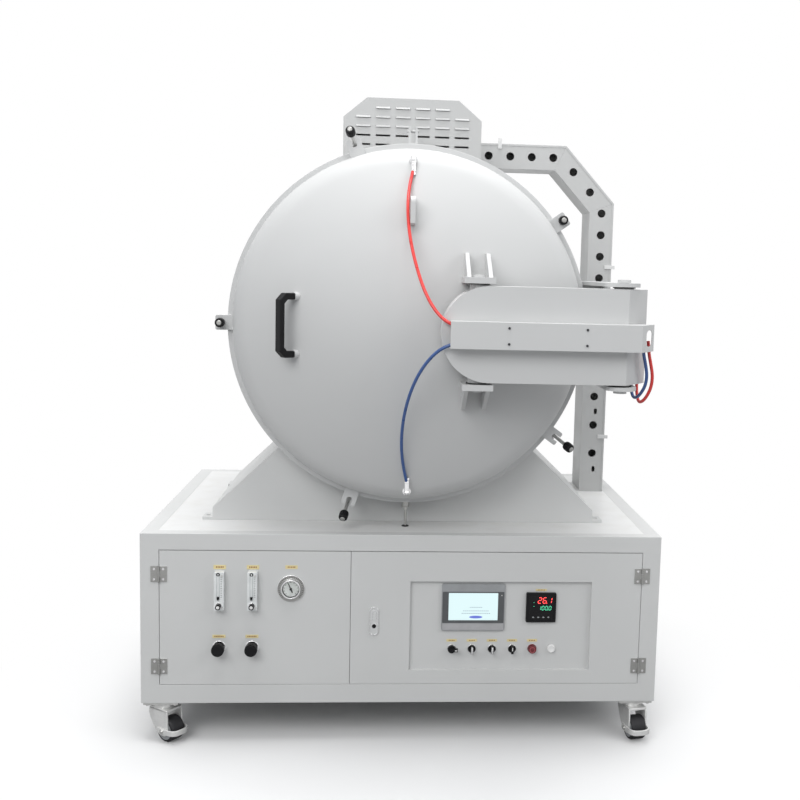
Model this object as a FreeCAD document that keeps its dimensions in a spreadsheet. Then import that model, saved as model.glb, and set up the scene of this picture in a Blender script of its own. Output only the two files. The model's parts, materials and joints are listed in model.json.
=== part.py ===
import FreeCAD, Part
import math
import os
import Sketcher
from FreeCAD import Placement, Rotation, Vector

# A vacuum sintering furnace: a round, water-cooled chamber with a dished door, lying on a saddle
# on a cabinet with casters. The door hangs on a pin in a swing arm and is held by swing bolts.
# Frame: +X to the right, +Y to the back, +Z up. The origin is on the floor, below the middle of
# the furnace's length from the hose trough to the vacuum port. Millimetres and degrees.

doc = FreeCAD.newDocument("SinteringFurnace")
sheet = doc.addObject("Spreadsheet::Sheet", "Sizes")
nodes = {}


class Size:
    """A number that also knows the sheet formula it comes from."""

    def __init__(self, value, text):
        self.value = float(value)
        self.text = text

    def joined(self, sign, other, value):
        return Size(value, "(%s %s %s)" % (self.text, sign, as_size(other).text))

    def __add__(self, other):
        return self.joined("+", other, self.value + as_size(other).value)

    def __sub__(self, other):
        return self.joined("-", other, self.value - as_size(other).value)

    def __mul__(self, other):
        return self.joined("*", other, self.value * as_size(other).value)

    def __truediv__(self, other):
        return self.joined("/", other, self.value / as_size(other).value)

    def __radd__(self, other):
        return as_size(other) + self

    def __rsub__(self, other):
        return as_size(other) - self

    def __rmul__(self, other):
        return as_size(other) * self

    def __neg__(self):
        return Size(-self.value, "(0 - %s)" % self.text)


def as_size(number):
    return number if isinstance(number, Size) else Size(number, "%.10g" % number)


def root(number):
    return Size(math.sqrt(number.value), "sqrt(%s)" % number.text)


def size(name, value):
    """One driving dimension: a cell of the sheet with an alias."""
    size.row += 1
    sheet.set("A%d" % size.row, name)
    sheet.set("B%d" % size.row, str(value))
    sheet.setAlias("B%d" % size.row, name)
    return Size(value, "Sizes." + name)


size.row = 0

# Cabinet
cabinet_width = size("CabinetWidth", 1700)
cabinet_depth = size("CabinetDepth", 1050)
cabinet_height = size("CabinetHeight", 568)
caster_height = size("CasterHeight", 138)
stile_width = size("StileWidth", 60)
top_rail = size("TopRail", 55)
bottom_rail = size("BottomRail", 63)
tube = size("FrameTube", 40)
top_rim = size("TopRim", 50)
sheet_metal = size("SheetMetal", 2)
top_plate = size("TopPlate", 4)
split_from_centre = size("DoorSplit", 175)
door_gap = size("DoorGap", 1.5)
door_pan = size("DoorPanDepth", 20)
recess_depth = size("RecessDepth", 12)

# Chamber, its flange and its door
chamber_rise = size("ChamberRise", 677)
shell_radius = size("ShellRadius", 545)
shell_wall = size("ShellWall", 8)
shell_to_back = size("ShellToBack", 190)
inner_radius = size("InnerVesselRadius", 505)
inner_wall = size("InnerVesselWall", 6)
jacket_end_gap = size("JacketEndGap", 30)
inner_rear_crown = size("InnerRearCrown", 1050)
inner_rear_knuckle = size("InnerRearKnuckle", 50)
flange_radius = size("FlangeRadius", 590)
flange_bore = size("FlangeBore", 480)
flange_thickness = size("FlangeThickness", 40)
door_setback = size("DoorSetback", 75)
door_radius = size("DoorRadius", 585)
seal_gap = size("SealGap", 0.5)
seal_radius = size("SealRadius", 530)
seal_cord = size("SealCordRadius", 5)
dish_radius = size("DishRadius", 566)
dish_crown = size("DishCrown", 1000)
dish_knuckle = size("DishKnuckle", 120)
dish_straight = size("DishStraight", 12)
dish_wall = size("DishWall", 10)
inner_dish_crown = size("InnerDishCrown", 900)
inner_dish_knuckle = size("InnerDishKnuckle", 80)
rear_crown = size("RearCrown", 1090)
rear_knuckle = size("RearKnuckle", 55)
fit_gap = size("FitGap", 0.3)

# Hot zone
felt_size = size("FeltSize", 640)
door_felt_corner = size("DoorFeltCorner", 140)
felt_wall = size("FeltWall", 60)
felt_front = size("FeltFront", 152)
felt_to_shell_end = size("FeltToShellEnd", 68)
electrode_radius = size("ElectrodeRadius", 22)
heater_bar = size("HeaterBar", 20)
heater_spread = size("HeaterSpread", 225)
hearth_level = size("HearthLevel", 190)

# Swing arm and its trough
arm_clearance = size("ArmClearance", 14)
arm_depth = size("ArmDepth", 100)
arm_height = size("ArmHeight", 284)
arm_wall = size("ArmWall", 5)
arm_left = size("ArmLeft", 88)
arm_bend = size("ArmBend", 638)
arm_right = size("ArmRight", 715)
arm_pivot_x = size("ArmPivot", 632)
door_pivot_x = size("DoorPivot", 198)
boss_height = size("BossHeight", 6)
bearing_gap = size("BearingGap", 0.6)
running_gap = size("RunningGap", 0.05)
trough_depth = size("TroughDepth", 45)
trough_height = size("TroughHeight", 80)
trough_left = size("TroughLeft", 112)
trough_bend = size("TroughBend", 671)
trough_end = size("TroughEnd", 724)
trough_sheet = size("TroughSheet", 3)

# Swing bolts
clamp_circle = size("ClampCircle", 605)
clamp_pivot = size("ClampPivot", 140)
clamp_bolt_radius = size("ClampBoltRadius", 6)
clamp_bolt_length = size("ClampBoltLength", 108)
knob_length = size("ClampKnobLength", 28.5)
knob_radius = size("ClampKnobRadius", 14)
clamp_pin_radius = size("ClampPinRadius", 5)
lug_thickness = size("LugThickness", 12)
lug_width = size("LugWidth", 48)
lug_reach = size("LugReach", 622)
lug_slot = size("LugSlot", 18)
clamp_angles = (180, 108, 36, -36, -108)
clamp_swings = (0, 25, 0, 39, 37)

# Saddle, vent cover and cable duct
saddle_front = size("SaddleFront", 185)
saddle_to_shell_end = size("SaddleToShellEnd", 80)
saddle_half = size("SaddleHalfWidth", 652)
saddle_toe = size("SaddleToe", 43)
saddle_plate = size("SaddlePlate", 8)
vent_front = size("VentFront", 230)
vent_half = size("VentHalfWidth", 231)
vent_top = size("VentTop", 751)
vent_bevel_across = size("VentBevelAcross", 78)
vent_bevel_down = size("VentBevelDown", 65)
vent_sheet = size("VentSheet", 3)
duct_to_shell_end = size("DuctToShellEnd", 160)
duct_depth = size("DuctDepth", 157)
duct_width = size("DuctWidth", 94)
duct_inset = size("DuctInset", 56)
duct_top = size("DuctTop", 675)
duct_shoulder = size("DuctShoulder", 600)
duct_elbow = size("DuctElbow", 461)
duct_hole = size("DuctHoleRadius", 15.5)
duct_pitch = size("DuctHolePitch", 83.4)

# Vacuum port, casters, hoses
port_reach = size("PortReach", 63)
port_radius = size("PortRadius", 76)
sleeve_gap = size("SleeveGap", 3)
sleeve_wall = size("SleeveWall", 6)
wheel_radius = size("WheelRadius", 40)
wheel_width = size("WheelWidth", 50)
caster_trail = size("CasterTrail", 32)
caster_inset = size("CasterInset", 63)
caster_y = size("CasterFromFront", 52)
hose_radius = size("HoseRadius", 5)
elbow_out = size("WaterElbowOut", 60)
elbow_rise = size("WaterElbowRise", 522)
switch_drop = size("SwitchDrop", 385.5)

doc.recompute()

# Planes and heights that several pieces share
shell_end = cabinet_depth - shell_to_back
inner_end = shell_end - jacket_end_gap
felt_length = shell_end - felt_to_shell_end - felt_front
saddle_back = shell_end - saddle_to_shell_end
vent_back = shell_end
duct_front = shell_end - duct_to_shell_end
duct_right = cabinet_width / 2 - duct_inset
caster_x = cabinet_width / 2 - caster_inset
dish_depth = dish_crown - root((dish_crown - dish_knuckle) * (dish_crown - dish_knuckle)
                               - (dish_radius - dish_knuckle) * (dish_radius - dish_knuckle))
apex_ahead = dish_depth + dish_straight - door_setback
front_reach = apex_ahead + arm_clearance + arm_depth + trough_depth
front = (front_reach - cabinet_depth - port_reach) / 2
back = front + cabinet_depth
base = caster_height
top = caster_height + cabinet_height
axis_z = top + chamber_rise
door_face = front + door_setback
door_back = door_face + flange_thickness
flange_face = door_back + seal_gap
flange_back = flange_face + flange_thickness
apex = front - apex_ahead
arm_back = apex - arm_clearance
arm_front = arm_back - arm_depth
arm_top = axis_z + arm_height / 2
arm_bottom = axis_z - arm_height / 2
pivot_y = arm_back - arm_depth / 2
trough_front = arm_front - trough_depth
clamp_y = front + clamp_pivot


def bind(obj, prop, value):
    obj.setExpression(prop, as_size(value).text)


def move(obj, x=0, y=0, z=0):
    for axis, value in zip("xyz", (x, y, z)):
        bind(obj, "Placement.Base." + axis, value)
    return obj


def box(x0, x1, y0, y1, z0, z1):
    obj = doc.addObject("Part::Box", "Box")
    bind(obj, "Length", as_size(x1) - x0)
    bind(obj, "Width", as_size(y1) - y0)
    bind(obj, "Height", as_size(z1) - z0)
    return move(obj, x0, y0, z0)


TURNS = {"x": Rotation(Vector(0, 1, 0), 90), "y": Rotation(Vector(1, 0, 0), -90), "z": Rotation()}


def cylinder(axis, radius, start, end, x=0, y=0, z=0):
    """A cylinder along one axis, from start to end on that axis."""
    obj = doc.addObject("Part::Cylinder", "Cylinder")
    obj.Placement = Placement(Vector(), TURNS[axis])
    bind(obj, "Radius", radius)
    bind(obj, "Height", as_size(end) - start)
    spot = {"x": x, "y": y, "z": z}
    spot[axis] = start
    return move(obj, **spot)


def fuse(*parts):
    obj = doc.addObject("Part::MultiFuse", "Fuse")
    obj.Shapes = list(parts)
    return obj


def group(*parts):
    obj = doc.addObject("Part::Compound", "Group")
    obj.Links = list(parts)
    return obj


def cut(base_part, *tools):
    obj = doc.addObject("Part::Cut", "Cut")
    obj.Base = base_part
    obj.Tool = tools[0] if len(tools) == 1 else group(*tools)
    return obj


def common(first, second):
    obj = doc.addObject("Part::Common", "Common")
    obj.Base = first
    obj.Tool = second
    return obj


def keep(name, obj):
    """Names a finished piece."""
    obj.Label = name
    nodes[name] = obj
    return obj


def arc_centre(start, end, radius):
    """Centre of the short arc from start to end; a negative radius turns clockwise."""
    chord = end - start
    half = chord.Length / 2
    side = Vector(-chord.y, chord.x, 0).normalize() * math.sqrt(max(radius * radius - half * half, 0))
    return (start + end) * 0.5 + side * (1 if radius > 0 else -1)


def draw_loop(sketch, loop):
    """Draws one closed outline. A vertex is (u, v) or (u, v, radius of the arc that starts there)."""
    points = [Vector(as_size(v[0]).value, as_size(v[1]).value, 0) for v in loop]
    count = len(loop)
    edges = []
    for i, vertex in enumerate(loop):
        start, end = points[i], points[(i + 1) % count]
        if len(vertex) == 2:
            edges.append((sketch.addGeometry(Part.LineSegment(start, end), False), 1, 2))
            continue
        radius = as_size(vertex[2]).value
        centre = arc_centre(start, end, radius)
        first, last = (start, end) if radius > 0 else (end, start)
        angles = [math.atan2(p.y - centre.y, p.x - centre.x) for p in (first, last)]
        circle = Part.Circle(centre, Vector(0, 0, 1), abs(radius))
        arc = Part.ArcOfCircle(circle, angles[0], angles[1] if angles[1] > angles[0] else angles[1] + 2 * math.pi)
        ends = (1, 2) if radius > 0 else (2, 1)
        edges.append((sketch.addGeometry(arc, False),) + ends)
    for i, vertex in enumerate(loop):
        edge, start, end = edges[i]
        following = edges[(i + 1) % count]
        sketch.addConstraint(Sketcher.Constraint("Coincident", edge, end, following[0], following[1]))
        named_size(sketch, "DistanceX", vertex[0], edge, start)
        named_size(sketch, "DistanceY", vertex[1], edge, start)
        if len(vertex) == 3:
            radius = as_size(vertex[2])
            named_size(sketch, "Radius", radius if radius.value > 0 else -radius, edge)


def named_size(sketch, kind, value, *where):
    value = as_size(value)
    index = sketch.addConstraint(Sketcher.Constraint(kind, *where, value.value))
    name = "%s%d" % (kind, index)
    sketch.renameConstraint(index, name)
    bind(sketch, "Constraints." + name, value)


def draw_circle(sketch, u, v, radius):
    centre = Vector(as_size(u).value, as_size(v).value, 0)
    edge = sketch.addGeometry(Part.Circle(centre, Vector(0, 0, 1), as_size(radius).value), False)
    named_size(sketch, "DistanceX", u, edge, 3)
    named_size(sketch, "DistanceY", v, edge, 3)
    named_size(sketch, "Radius", radius, edge)


def sketched_body(plane, loops, circles=()):
    body = doc.addObject("PartDesign::Body", "Body")
    sketch = body.newObject("Sketcher::SketchObject", "Sketch")
    plane_object = [f for f in body.Origin.OriginFeatures if f.Role == plane + "_Plane"][0]
    sketch.AttachmentSupport = (plane_object, [""])
    sketch.MapMode = "FlatFace"
    for loop in loops:
        draw_loop(sketch, loop)
    for circle in circles:
        draw_circle(sketch, *circle)
    return body, sketch


def pad(plane, loop, start, end, circles=(), more=()):
    """A padded outline: XZ runs along Y, XY along Z and YZ along X, from start to end."""
    body, sketch = sketched_body(plane, (loop,) + tuple(more), circles)
    feature = body.newObject("PartDesign::Pad", "Pad")
    feature.Profile = sketch
    feature.Reversed = plane == "XZ"
    bind(feature, "Length", as_size(end) - start)
    axis = {"XZ": "y", "XY": "z", "YZ": "x"}[plane]
    bind(body, "Placement.Base." + axis, start)
    return body


def turned(loop, height=axis_z):
    """An outline of (radius, y) turned about the chamber's axis, which runs along Y."""
    body, sketch = sketched_body("XY", (loop,))
    feature = body.newObject("PartDesign::Revolution", "Revolution")
    feature.Profile = sketch
    feature.ReferenceAxis = (sketch, ["V_Axis"])
    feature.Angle = 360
    bind(body, "Placement.Base.z", height)
    return body


def rounded(x0, x1, z0, z1, r):
    """A rectangle with rounded corners, anticlockwise."""
    return ((x0 + r, z0), (x1 - r, z0, r), (x1, z0 + r), (x1, z1 - r, r),
            (x1 - r, z1), (x0 + r, z1, r), (x0, z1 - r), (x0, z0 + r, r))


def head(radius, crown, knuckle, tangent, side, inset=0):
    """Dished head. Returns the points rim, knuckle end and apex; side is -1 towards the front."""
    across = (radius - knuckle) / (crown - knuckle)
    deep = root(1 - across * across)
    depth = crown - root((crown - knuckle) * (crown - knuckle) - (radius - knuckle) * (radius - knuckle))
    centre = tangent + side * (depth - crown)
    reach = crown - inset
    return ((radius - inset, tangent), (across * reach, centre + side * (deep * reach)),
            (as_size(0), centre + side * reach))


def at_angle(obj, angle):
    """Places a piece that was drawn with its radius along +X at an angle round the chamber's axis."""
    obj.Placement = Placement(Vector(0, 0, axis_z.value), Rotation(Vector(0, -1, 0), angle))
    return obj


def make_cabinet():
    half = cabinet_width / 2
    inner_front = front + tube
    inner_back = back - tube
    parts = []
    for side in (-1, 1):
        outer = side * half
        stile = side * (half - stile_width)
        post = side * (half - tube)
        rim = side * (half - top_rim)
        parts += [span(outer, stile, front, inner_front, base, top),
                  span(outer, post, inner_back, back, base, top),
                  span(outer, rim, inner_front, inner_back, top - tube, top),
                  span(outer, post, inner_front, inner_back, base, base + tube)]
    open_left, open_right = stile_width - half, half - stile_width
    parts += [box(open_left, open_right, front, inner_front, top - top_rail, top),
              box(open_left, open_right, front, inner_front, base, base + bottom_rail),
              box(tube - half, half - tube, inner_back, back, top - tube, top),
              box(tube - half, half - tube, inner_back, back, base, base + tube)]
    post_front = front + door_pan + 6
    parts.append(box(-split_from_centre - tube / 2, tube / 2 - split_from_centre,
                     post_front, post_front + tube, base + bottom_rail, top - top_rail))
    keep("cabinet_frame", fuse(*parts))

    rim = half - top_rim
    plate = box(-rim, rim, inner_front, inner_back, top - top_plate, top)
    drain = cylinder("z", 12, top - top_plate - 1, top + 1, x=0, y=front + 122)
    cable = box(duct_right - duct_width + 12, duct_right - 12, front + duct_front + 15,
                front + duct_front + duct_depth - 15, top - top_plate - 1, top + 1)
    keep("cabinet_top", cut(plate, drain, cable))

    low, high = base + tube, top - tube
    side_panels = [span(side * (half - 1), side * (half - 1 - sheet_metal), inner_front, inner_back, low, high)
                   for side in (-1, 1)]
    rear = box(tube - half, half - tube, back - 1 - sheet_metal, back - 1, low, high)
    louvres = []
    for column in (-1, 1):
        for line in range(8):
            z = low + 120 + line * 30
            x = column * (half / 2)
            louvres.append(box(x - 110, x + 110, back - 10, back + 10, z, z + 6))
    floor = box(tube - half, half - tube, inner_front, inner_back, base, base + sheet_metal)
    keep("cabinet_panels", group(side_panels[0], side_panels[1], cut(rear, *louvres), floor))


def span(x0, x1, y0, y1, z0, z1):
    """A box between two x values given in either order."""
    if as_size(x0).value > as_size(x1).value:
        x0, x1 = x1, x0
    return box(x0, x1, y0, y1, z0, z1)


def make_saddle():
    slope_x, slope_z = 300, 379
    fall = (slope_z - saddle_toe) / (saddle_half - slope_x)
    drop = saddle_plate * root(1 + fall * fall)
    y0, y1 = front + saddle_front, front + saddle_back

    def outline(inset, lower):
        edge = saddle_half - inset
        toe = top + saddle_toe + fall * inset - lower
        peak = top + slope_z - lower
        return ((-edge, top), (edge, top), (edge, toe), (slope_x, peak), (-slope_x, peak), (-edge, toe))

    whole = pad("XZ", outline(as_size(0), as_size(0)), y0, y1)
    hollow = pad("XZ", outline(saddle_plate, drop), y0 + saddle_plate, y1 - saddle_plate)
    seat = cylinder("y", shell_radius + fit_gap, y0 - 5, y1 + 5, z=axis_z)
    feet = []
    for side in (-1, 1):
        for y in (y0, y1 - 60):
            foot = span(side * saddle_half, side * (saddle_half + 34), y, y + 60, top, top + 10)
            hole = cylinder("z", 7, top - 1, top + 11, x=side * (saddle_half + 18), y=y + 30)
            feet.append(cut(foot, hole))
    keep("saddle", fuse(cut(whole, hollow, seat), *feet))


def head_wall(radius, crown, knuckle, wall, tangent, side):
    """The wall of a dished head as an outline: outer rim, apex, inner apex and inner rim."""
    outer = head(radius, crown, knuckle, tangent, side)
    inner = head(radius, crown, knuckle, tangent, side, wall)
    return ((outer[0][0], outer[0][1], side * knuckle), (outer[1][0], outer[1][1], side * crown), outer[2],
            (inner[2][0], inner[2][1], -side * (crown - wall)),
            (inner[1][0], inner[1][1], -side * (knuckle - wall)), inner[0])


def make_chamber():
    """The outer vessel with its flange, and the inner vessel that the cooling water runs round."""
    tangent = front + shell_end
    groove = seal_radius - seal_cord - fit_gap, seal_radius + seal_cord + fit_gap
    groove_floor = flange_face + 2 * seal_cord
    wall = head_wall(shell_radius, rear_crown, rear_knuckle, shell_wall, tangent, 1)
    outline = ((flange_bore, flange_face), (groove[0], flange_face), (groove[0], groove_floor),
               (groove[1], groove_floor), (groove[1], flange_face), (flange_radius, flange_face),
               (flange_radius, flange_back), (shell_radius, flange_back)) + wall + (
               (shell_radius - shell_wall, flange_back), (flange_bore, flange_back))
    outer = turned(outline)
    inner_wall_outline = head_wall(inner_radius, inner_rear_crown, inner_rear_knuckle, inner_wall,
                                   front + inner_end, 1)
    inner = turned(((inner_radius, flange_back),) + inner_wall_outline + ((inner_radius - inner_wall, flange_back),))
    sleeve_bore = port_radius + sleeve_gap
    port = cylinder("y", sleeve_bore, front + inner_end, back + port_reach, z=axis_z)
    sleeve = cut(cylinder("y", sleeve_bore + sleeve_wall, inner_wall_outline[2][1] - inner_wall,
                          wall[2][1] - inner_wall, z=axis_z), outer)
    ports = [cylinder("z", electrode_radius + fit_gap, axis_z + 300, axis_z + 600, y=y) for y in electrode_rows()]
    keep("chamber_shell", group(cut(outer, port, *ports), cut(fuse(inner, sleeve), port, *ports)))

    ring = doc.addObject("Part::Torus", "Torus")
    ring.Placement = Placement(Vector(), TURNS["y"])
    bind(ring, "Radius1", seal_radius)
    bind(ring, "Radius2", seal_cord)
    keep("door_seal", move(ring, 0, flange_face + seal_cord - 0.2, axis_z))

    nozzle_seat = rear_crown - root(rear_crown * rear_crown - port_radius * port_radius)
    pipe_start = wall[2][1] - nozzle_seat + fit_gap
    pipe = cylinder("y", port_radius + inner_wall, pipe_start, back + port_reach, z=axis_z)
    plate = cylinder("y", port_radius + 44, back + port_reach - 16, back + port_reach, z=axis_z)
    bore = cylinder("y", port_radius, pipe_start - 1, back + port_reach + 1, z=axis_z)
    bolts = []
    for i in range(8):
        angle = math.radians(22.5 + 45 * i)
        bolts.append(cylinder("y", 5.5, back + port_reach - 17, back + port_reach + 1,
                              x=(port_radius + 26) * math.cos(angle),
                              z=axis_z + (port_radius + 26) * math.sin(angle)))
    keep("vacuum_port", cut(fuse(pipe, plate), bore, *bolts))


def electrode_rows():
    """Places of the three current feedthroughs along the chamber."""
    middle = felt_front + felt_length / 2
    return [front + middle + step for step in (-170, 0, 170)]


def make_hot_zone():
    half = felt_size / 2
    inner = half - felt_wall
    y0 = front + felt_front
    y1 = y0 + felt_length
    whole = box(-half, half, y0, y1, axis_z - half, axis_z + half)
    cavity = box(-inner, inner, y0 - 1, y1 - felt_wall, axis_z - inner, axis_z + inner)
    posts = [(x, y) for x in (-160, 160) for y in (y0 + 120, y1 - 180)]
    holes = [cylinder("z", electrode_radius + fit_gap, axis_z + inner - 1, axis_z + half + 1, y=y)
             for y in electrode_rows()]
    holes += [cylinder("z", 15 + fit_gap, axis_z - half - 1, axis_z - inner + 1, x=x, y=y) for x, y in posts]
    duct = cylinder("y", port_radius + 2 * sleeve_gap, y1 - felt_wall - 1, y1 + 1, z=axis_z)
    keep("hot_zone_felt", cut(whole, cavity, duct, *holes))

    skids = [box(x - 20, x + 20, y0 + 60, y1 - 60, axis_z - inner_radius, axis_z - half) for x in (-160, 160)]
    inside = cylinder("y", inner_radius - inner_wall - fit_gap, y0, y1, z=axis_z)
    legs = [cylinder("z", 15, axis_z - half - 5, axis_z - hearth_level, x=x, y=y) for x, y in posts]
    plate = box(-210, 210, y0 + 60, y1 - 120, axis_z - hearth_level, axis_z - hearth_level + 20)
    keep("hearth", fuse(common(fuse(*skids), inside), plate, *legs))

    bar = heater_bar / 2
    low = axis_z - 140
    high = axis_z + inner - 38
    hoops = []
    for y in electrode_rows():
        hoops.append(box(-heater_spread - bar, heater_spread + bar, y - bar, y + bar, high, high + heater_bar))
        for side in (-1, 1):
            hoops.append(cylinder("z", bar, low, high + 1, x=side * heater_spread, y=y))
    rows = electrode_rows()
    for side in (-1, 1):
        hoops.append(box(side * heater_spread - bar, side * heater_spread + bar, rows[0] - bar, rows[-1] + bar,
                         low - heater_bar, low + 1))
    keep("heater_bars", fuse(*hoops))

    rods = []
    for y in rows:
        rod = cylinder("z", electrode_radius, high + heater_bar, axis_z + shell_radius + 90, y=y)
        collar = cylinder("z", 42, axis_z + shell_radius, axis_z + shell_radius + 14, y=y)
        clamp = box(-34, 34, y - 12, y + 12, axis_z + shell_radius + 62, axis_z + shell_radius + 86)
        rods.append(fuse(rod, collar, clamp))
    keep("electrodes", group(*rods))


def make_vent_cover():
    """A folded sheet cover with rows of slots, over the current feedthroughs."""
    y0, y1 = front + vent_front, front + vent_back
    peak = axis_z + vent_top
    low = axis_z + shell_radius - 80

    def outline(inset):
        edge = vent_half - inset
        bevel = vent_bevel_across - inset * 0.47
        drop = vent_bevel_down - inset * 0.47
        upper = peak - inset
        return ((-edge, low), (edge, low), (edge, upper - drop), (edge - bevel, upper),
                (bevel - edge, upper), (-edge, upper - drop))

    whole = pad("XZ", outline(as_size(0)), y0, y1)
    hollow = pad("XZ", outline(vent_sheet), y0 + vent_sheet, y1 - vent_sheet)
    seat = cylinder("y", shell_radius + fit_gap, y0 - 5, y1 + 5, z=axis_z)
    slots = []
    for line in range(5):
        count = 4 if line == 0 else 6
        z = peak - 36 - line * 30
        for i in range(count):
            x = (i - (count - 1) / 2) * 66
            slots.append(box(x - 24, x + 24, y0 - 2, y0 + vent_sheet + 2, z, z + 6))
            slots.append(box(x - 24, x + 24, y1 - vent_sheet - 2, y1 + 2, z, z + 6))
    for side in (-1, 1):
        for line in range(3):
            z = peak - vent_bevel_down - 40 - line * 30
            for i in range(3):
                y = y0 + 70 + i * 130
                slots.append(span(side * (vent_half - vent_sheet - 2), side * (vent_half + 2), y, y + 90, z, z + 6))
    mouth = box(vent_half - vent_sheet - 1, vent_half + 1, front + duct_front + 10,
                front + duct_front + duct_depth - 10, axis_z + duct_top - duct_width + 10, axis_z + duct_top - 10)
    keep("vent_cover", cut(whole, hollow, seat, mouth, *slots))


def make_duct():
    """The folded cable duct that runs from the vent cover over the chamber's shoulder to the table."""
    y0, y1 = front + duct_front, front + duct_front + duct_depth
    across = duct_right - duct_shoulder
    down = duct_top - duct_elbow
    slant = root(across * across + down * down)
    left = vent_half + fit_gap

    first = (slant - across) / down
    second = (slant - down) / across

    def outline(inset, open_ends):
        upper = axis_z + duct_top - inset
        right = duct_right - inset
        width = duct_width - inset * 2
        shoulder = duct_shoulder - first * inset
        elbow = axis_z + duct_elbow - second * inset
        start = left - open_ends
        foot = top - open_ends
        return ((start, upper - width), (shoulder - first * width, upper - width),
                (right - width, elbow - second * width), (right - width, foot), (right, foot),
                (right, elbow), (shoulder, upper), (start, upper))

    whole = pad("XZ", outline(as_size(0), as_size(0)), y0, y1)
    hollow = pad("XZ", outline(sheet_metal + 1, as_size(5)), y0 + sheet_metal + 1, y1 - sheet_metal - 1)
    middle = duct_right - duct_width / 2
    line = axis_z + duct_top - duct_width / 2
    spots = [(duct_shoulder - 50 - duct_pitch * i, line) for i in range(4)]
    run = duct_elbow + axis_z - 39
    spots += [(middle, run - duct_pitch * i) for i in range(8)]
    spots += [(middle, top + 155 + step) for step in (0, 113, 227)]
    for share in (0.31, 0.66):
        spots.append((duct_shoulder + across * share - 30, axis_z + duct_top - down * share - 32))
    holes = [cylinder("y", duct_hole, y0 - 5, y0 + 10, x=x, z=z) for x, z in spots]
    for rise in (91, 323):
        holes.append(pad("XZ", rounded(middle + 1, middle + 13, top + rise - 11, top + rise + 11, 5), y0 - 5, y0 + 10))
    # The duct is three lengths that meet at mitres, one at the shoulder and one at the elbow.
    over = duct_width + 5
    peak, bend = axis_z + duct_top, axis_z + duct_elbow
    x0, x1 = duct_shoulder - first * over, duct_shoulder + first * 5
    mitre = pad("XZ", ((x0, peak - over), (x0 + fit_gap, peak - over), (x1 + fit_gap, peak + 5), (x1, peak + 5)),
                y0 - 1, y1 + 1)
    z0, z1 = bend - second * over, bend + second * 5
    lower_mitre = pad("XZ", ((duct_right - over, z0), (duct_right + 5, z1), (duct_right + 5, z1 + fit_gap),
                             (duct_right - over, z0 + fit_gap)), y0 - 1, y1 + 1)
    flange = box(duct_right - duct_width - 14, duct_right - duct_width, y0, y1, top, top + 4)
    keep("cable_duct", fuse(cut(whole, hollow, mitre, lower_mitre, *holes), flange))

    def clip(x, z, upright):
        wide, tall = (7, 20) if upright else (20, 7)
        out = 12 if upright else 0
        aside = 0 if upright else 14
        return box(x - wide + aside, x + wide + aside, y0 - 5, y0, z - tall + out, z + tall + out)

    keep("duct_clips", group(clip(as_size(342), line + 35, True), clip(duct_right - 22, axis_z + 215, False),
                             clip(duct_right - 22, axis_z - 455, False)))


def make_clamps():
    """Five slotted lugs on the door, five swing bolts, and their clevises on the chamber's flange."""
    lugs, clevises = [], []
    half = lug_width / 2
    slot = lug_slot / 2
    inner = dish_radius + fit_gap
    lug_front = door_face - lug_thickness
    for angle in clamp_angles:
        outline = ((inner, -half), (lug_reach - 6, -half, 6), (lug_reach, 6 - half), (lug_reach, -slot),
                   (clamp_circle, -slot, -slot), (clamp_circle - slot, 0, -slot), (clamp_circle, slot),
                   (lug_reach, slot), (lug_reach, half - 6, 6), (lug_reach - 6, half), (inner, half))
        lug = pad("XZ", outline, lug_front, door_face)
        lug.setExpression("Placement.Base.y", None)
        at_angle(lug, angle)
        lug.Placement.Base.y = lug_front.value
        lugs.append(lug)
        clevises.append(at_angle(clevis(clamp_circle + 15), angle))
    clevises.append(at_angle(clevis(clamp_circle + 42), 90))
    keep("door_lugs", group(*lugs))
    keep("clamp_clevises", group(*clevises))

    for number, (angle, swing) in enumerate(zip(clamp_angles, clamp_swings), 1):
        eye = cylinder("z", 10, -6.5, 6.5)
        end = -clamp_bolt_length
        back = end + knob_length
        shank = cylinder("y", clamp_bolt_radius, back + fit_gap, -6)
        bore = cylinder("z", clamp_pin_radius + running_gap, -8, 8)
        knob = turned(((0, end), (knob_radius - 2.5, end), (knob_radius, end + 2.5), (knob_radius, back - 3.5),
                       (knob_radius - 1.5, back), (0, back)), as_size(0))
        bolt = group(cut(fuse(eye, shank), bore), knob)
        hinge = Placement(Vector(clamp_circle.value, clamp_y.value, 0), Rotation(Vector(0, 0, 1), swing))
        ring = Placement(Vector(0, 0, axis_z.value), Rotation(Vector(0, -1, 0), angle))
        bolt.Placement = ring.multiply(hinge)
        keep("clamp_bolt_%d" % number, bolt)


def clevis(reach):
    """Two ears and a pin, drawn with the radius along +X."""
    y0, y1 = clamp_y - 18, clamp_y + 15
    inner = flange_radius + 0.05
    ears = [box(inner, reach, y0, y1, z, z + 8) for z in (7, -15)]
    bridge = box(inner, inner + 3.5, y0, y1, -15, 15)
    pin = cylinder("z", clamp_pin_radius, -19, 19, x=reach - 15, y=clamp_y)
    return fuse(bridge, pin, *ears)


def door_form(gap):
    """The door's outer dished form, solid, to trim what is welded on it."""
    edge, bend, peak = head(dish_radius, dish_crown, dish_knuckle, door_face - dish_straight, -1)
    return turned(((0, door_back), (edge[0] + gap, door_back), (edge[0] + gap, edge[1], -(dish_knuckle + gap)),
                   (bend[0] + bend[0] * gap / dish_crown, bend[1] - gap * 0.8620, -(dish_crown + gap)),
                   (0, peak[1] - gap)))


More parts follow.
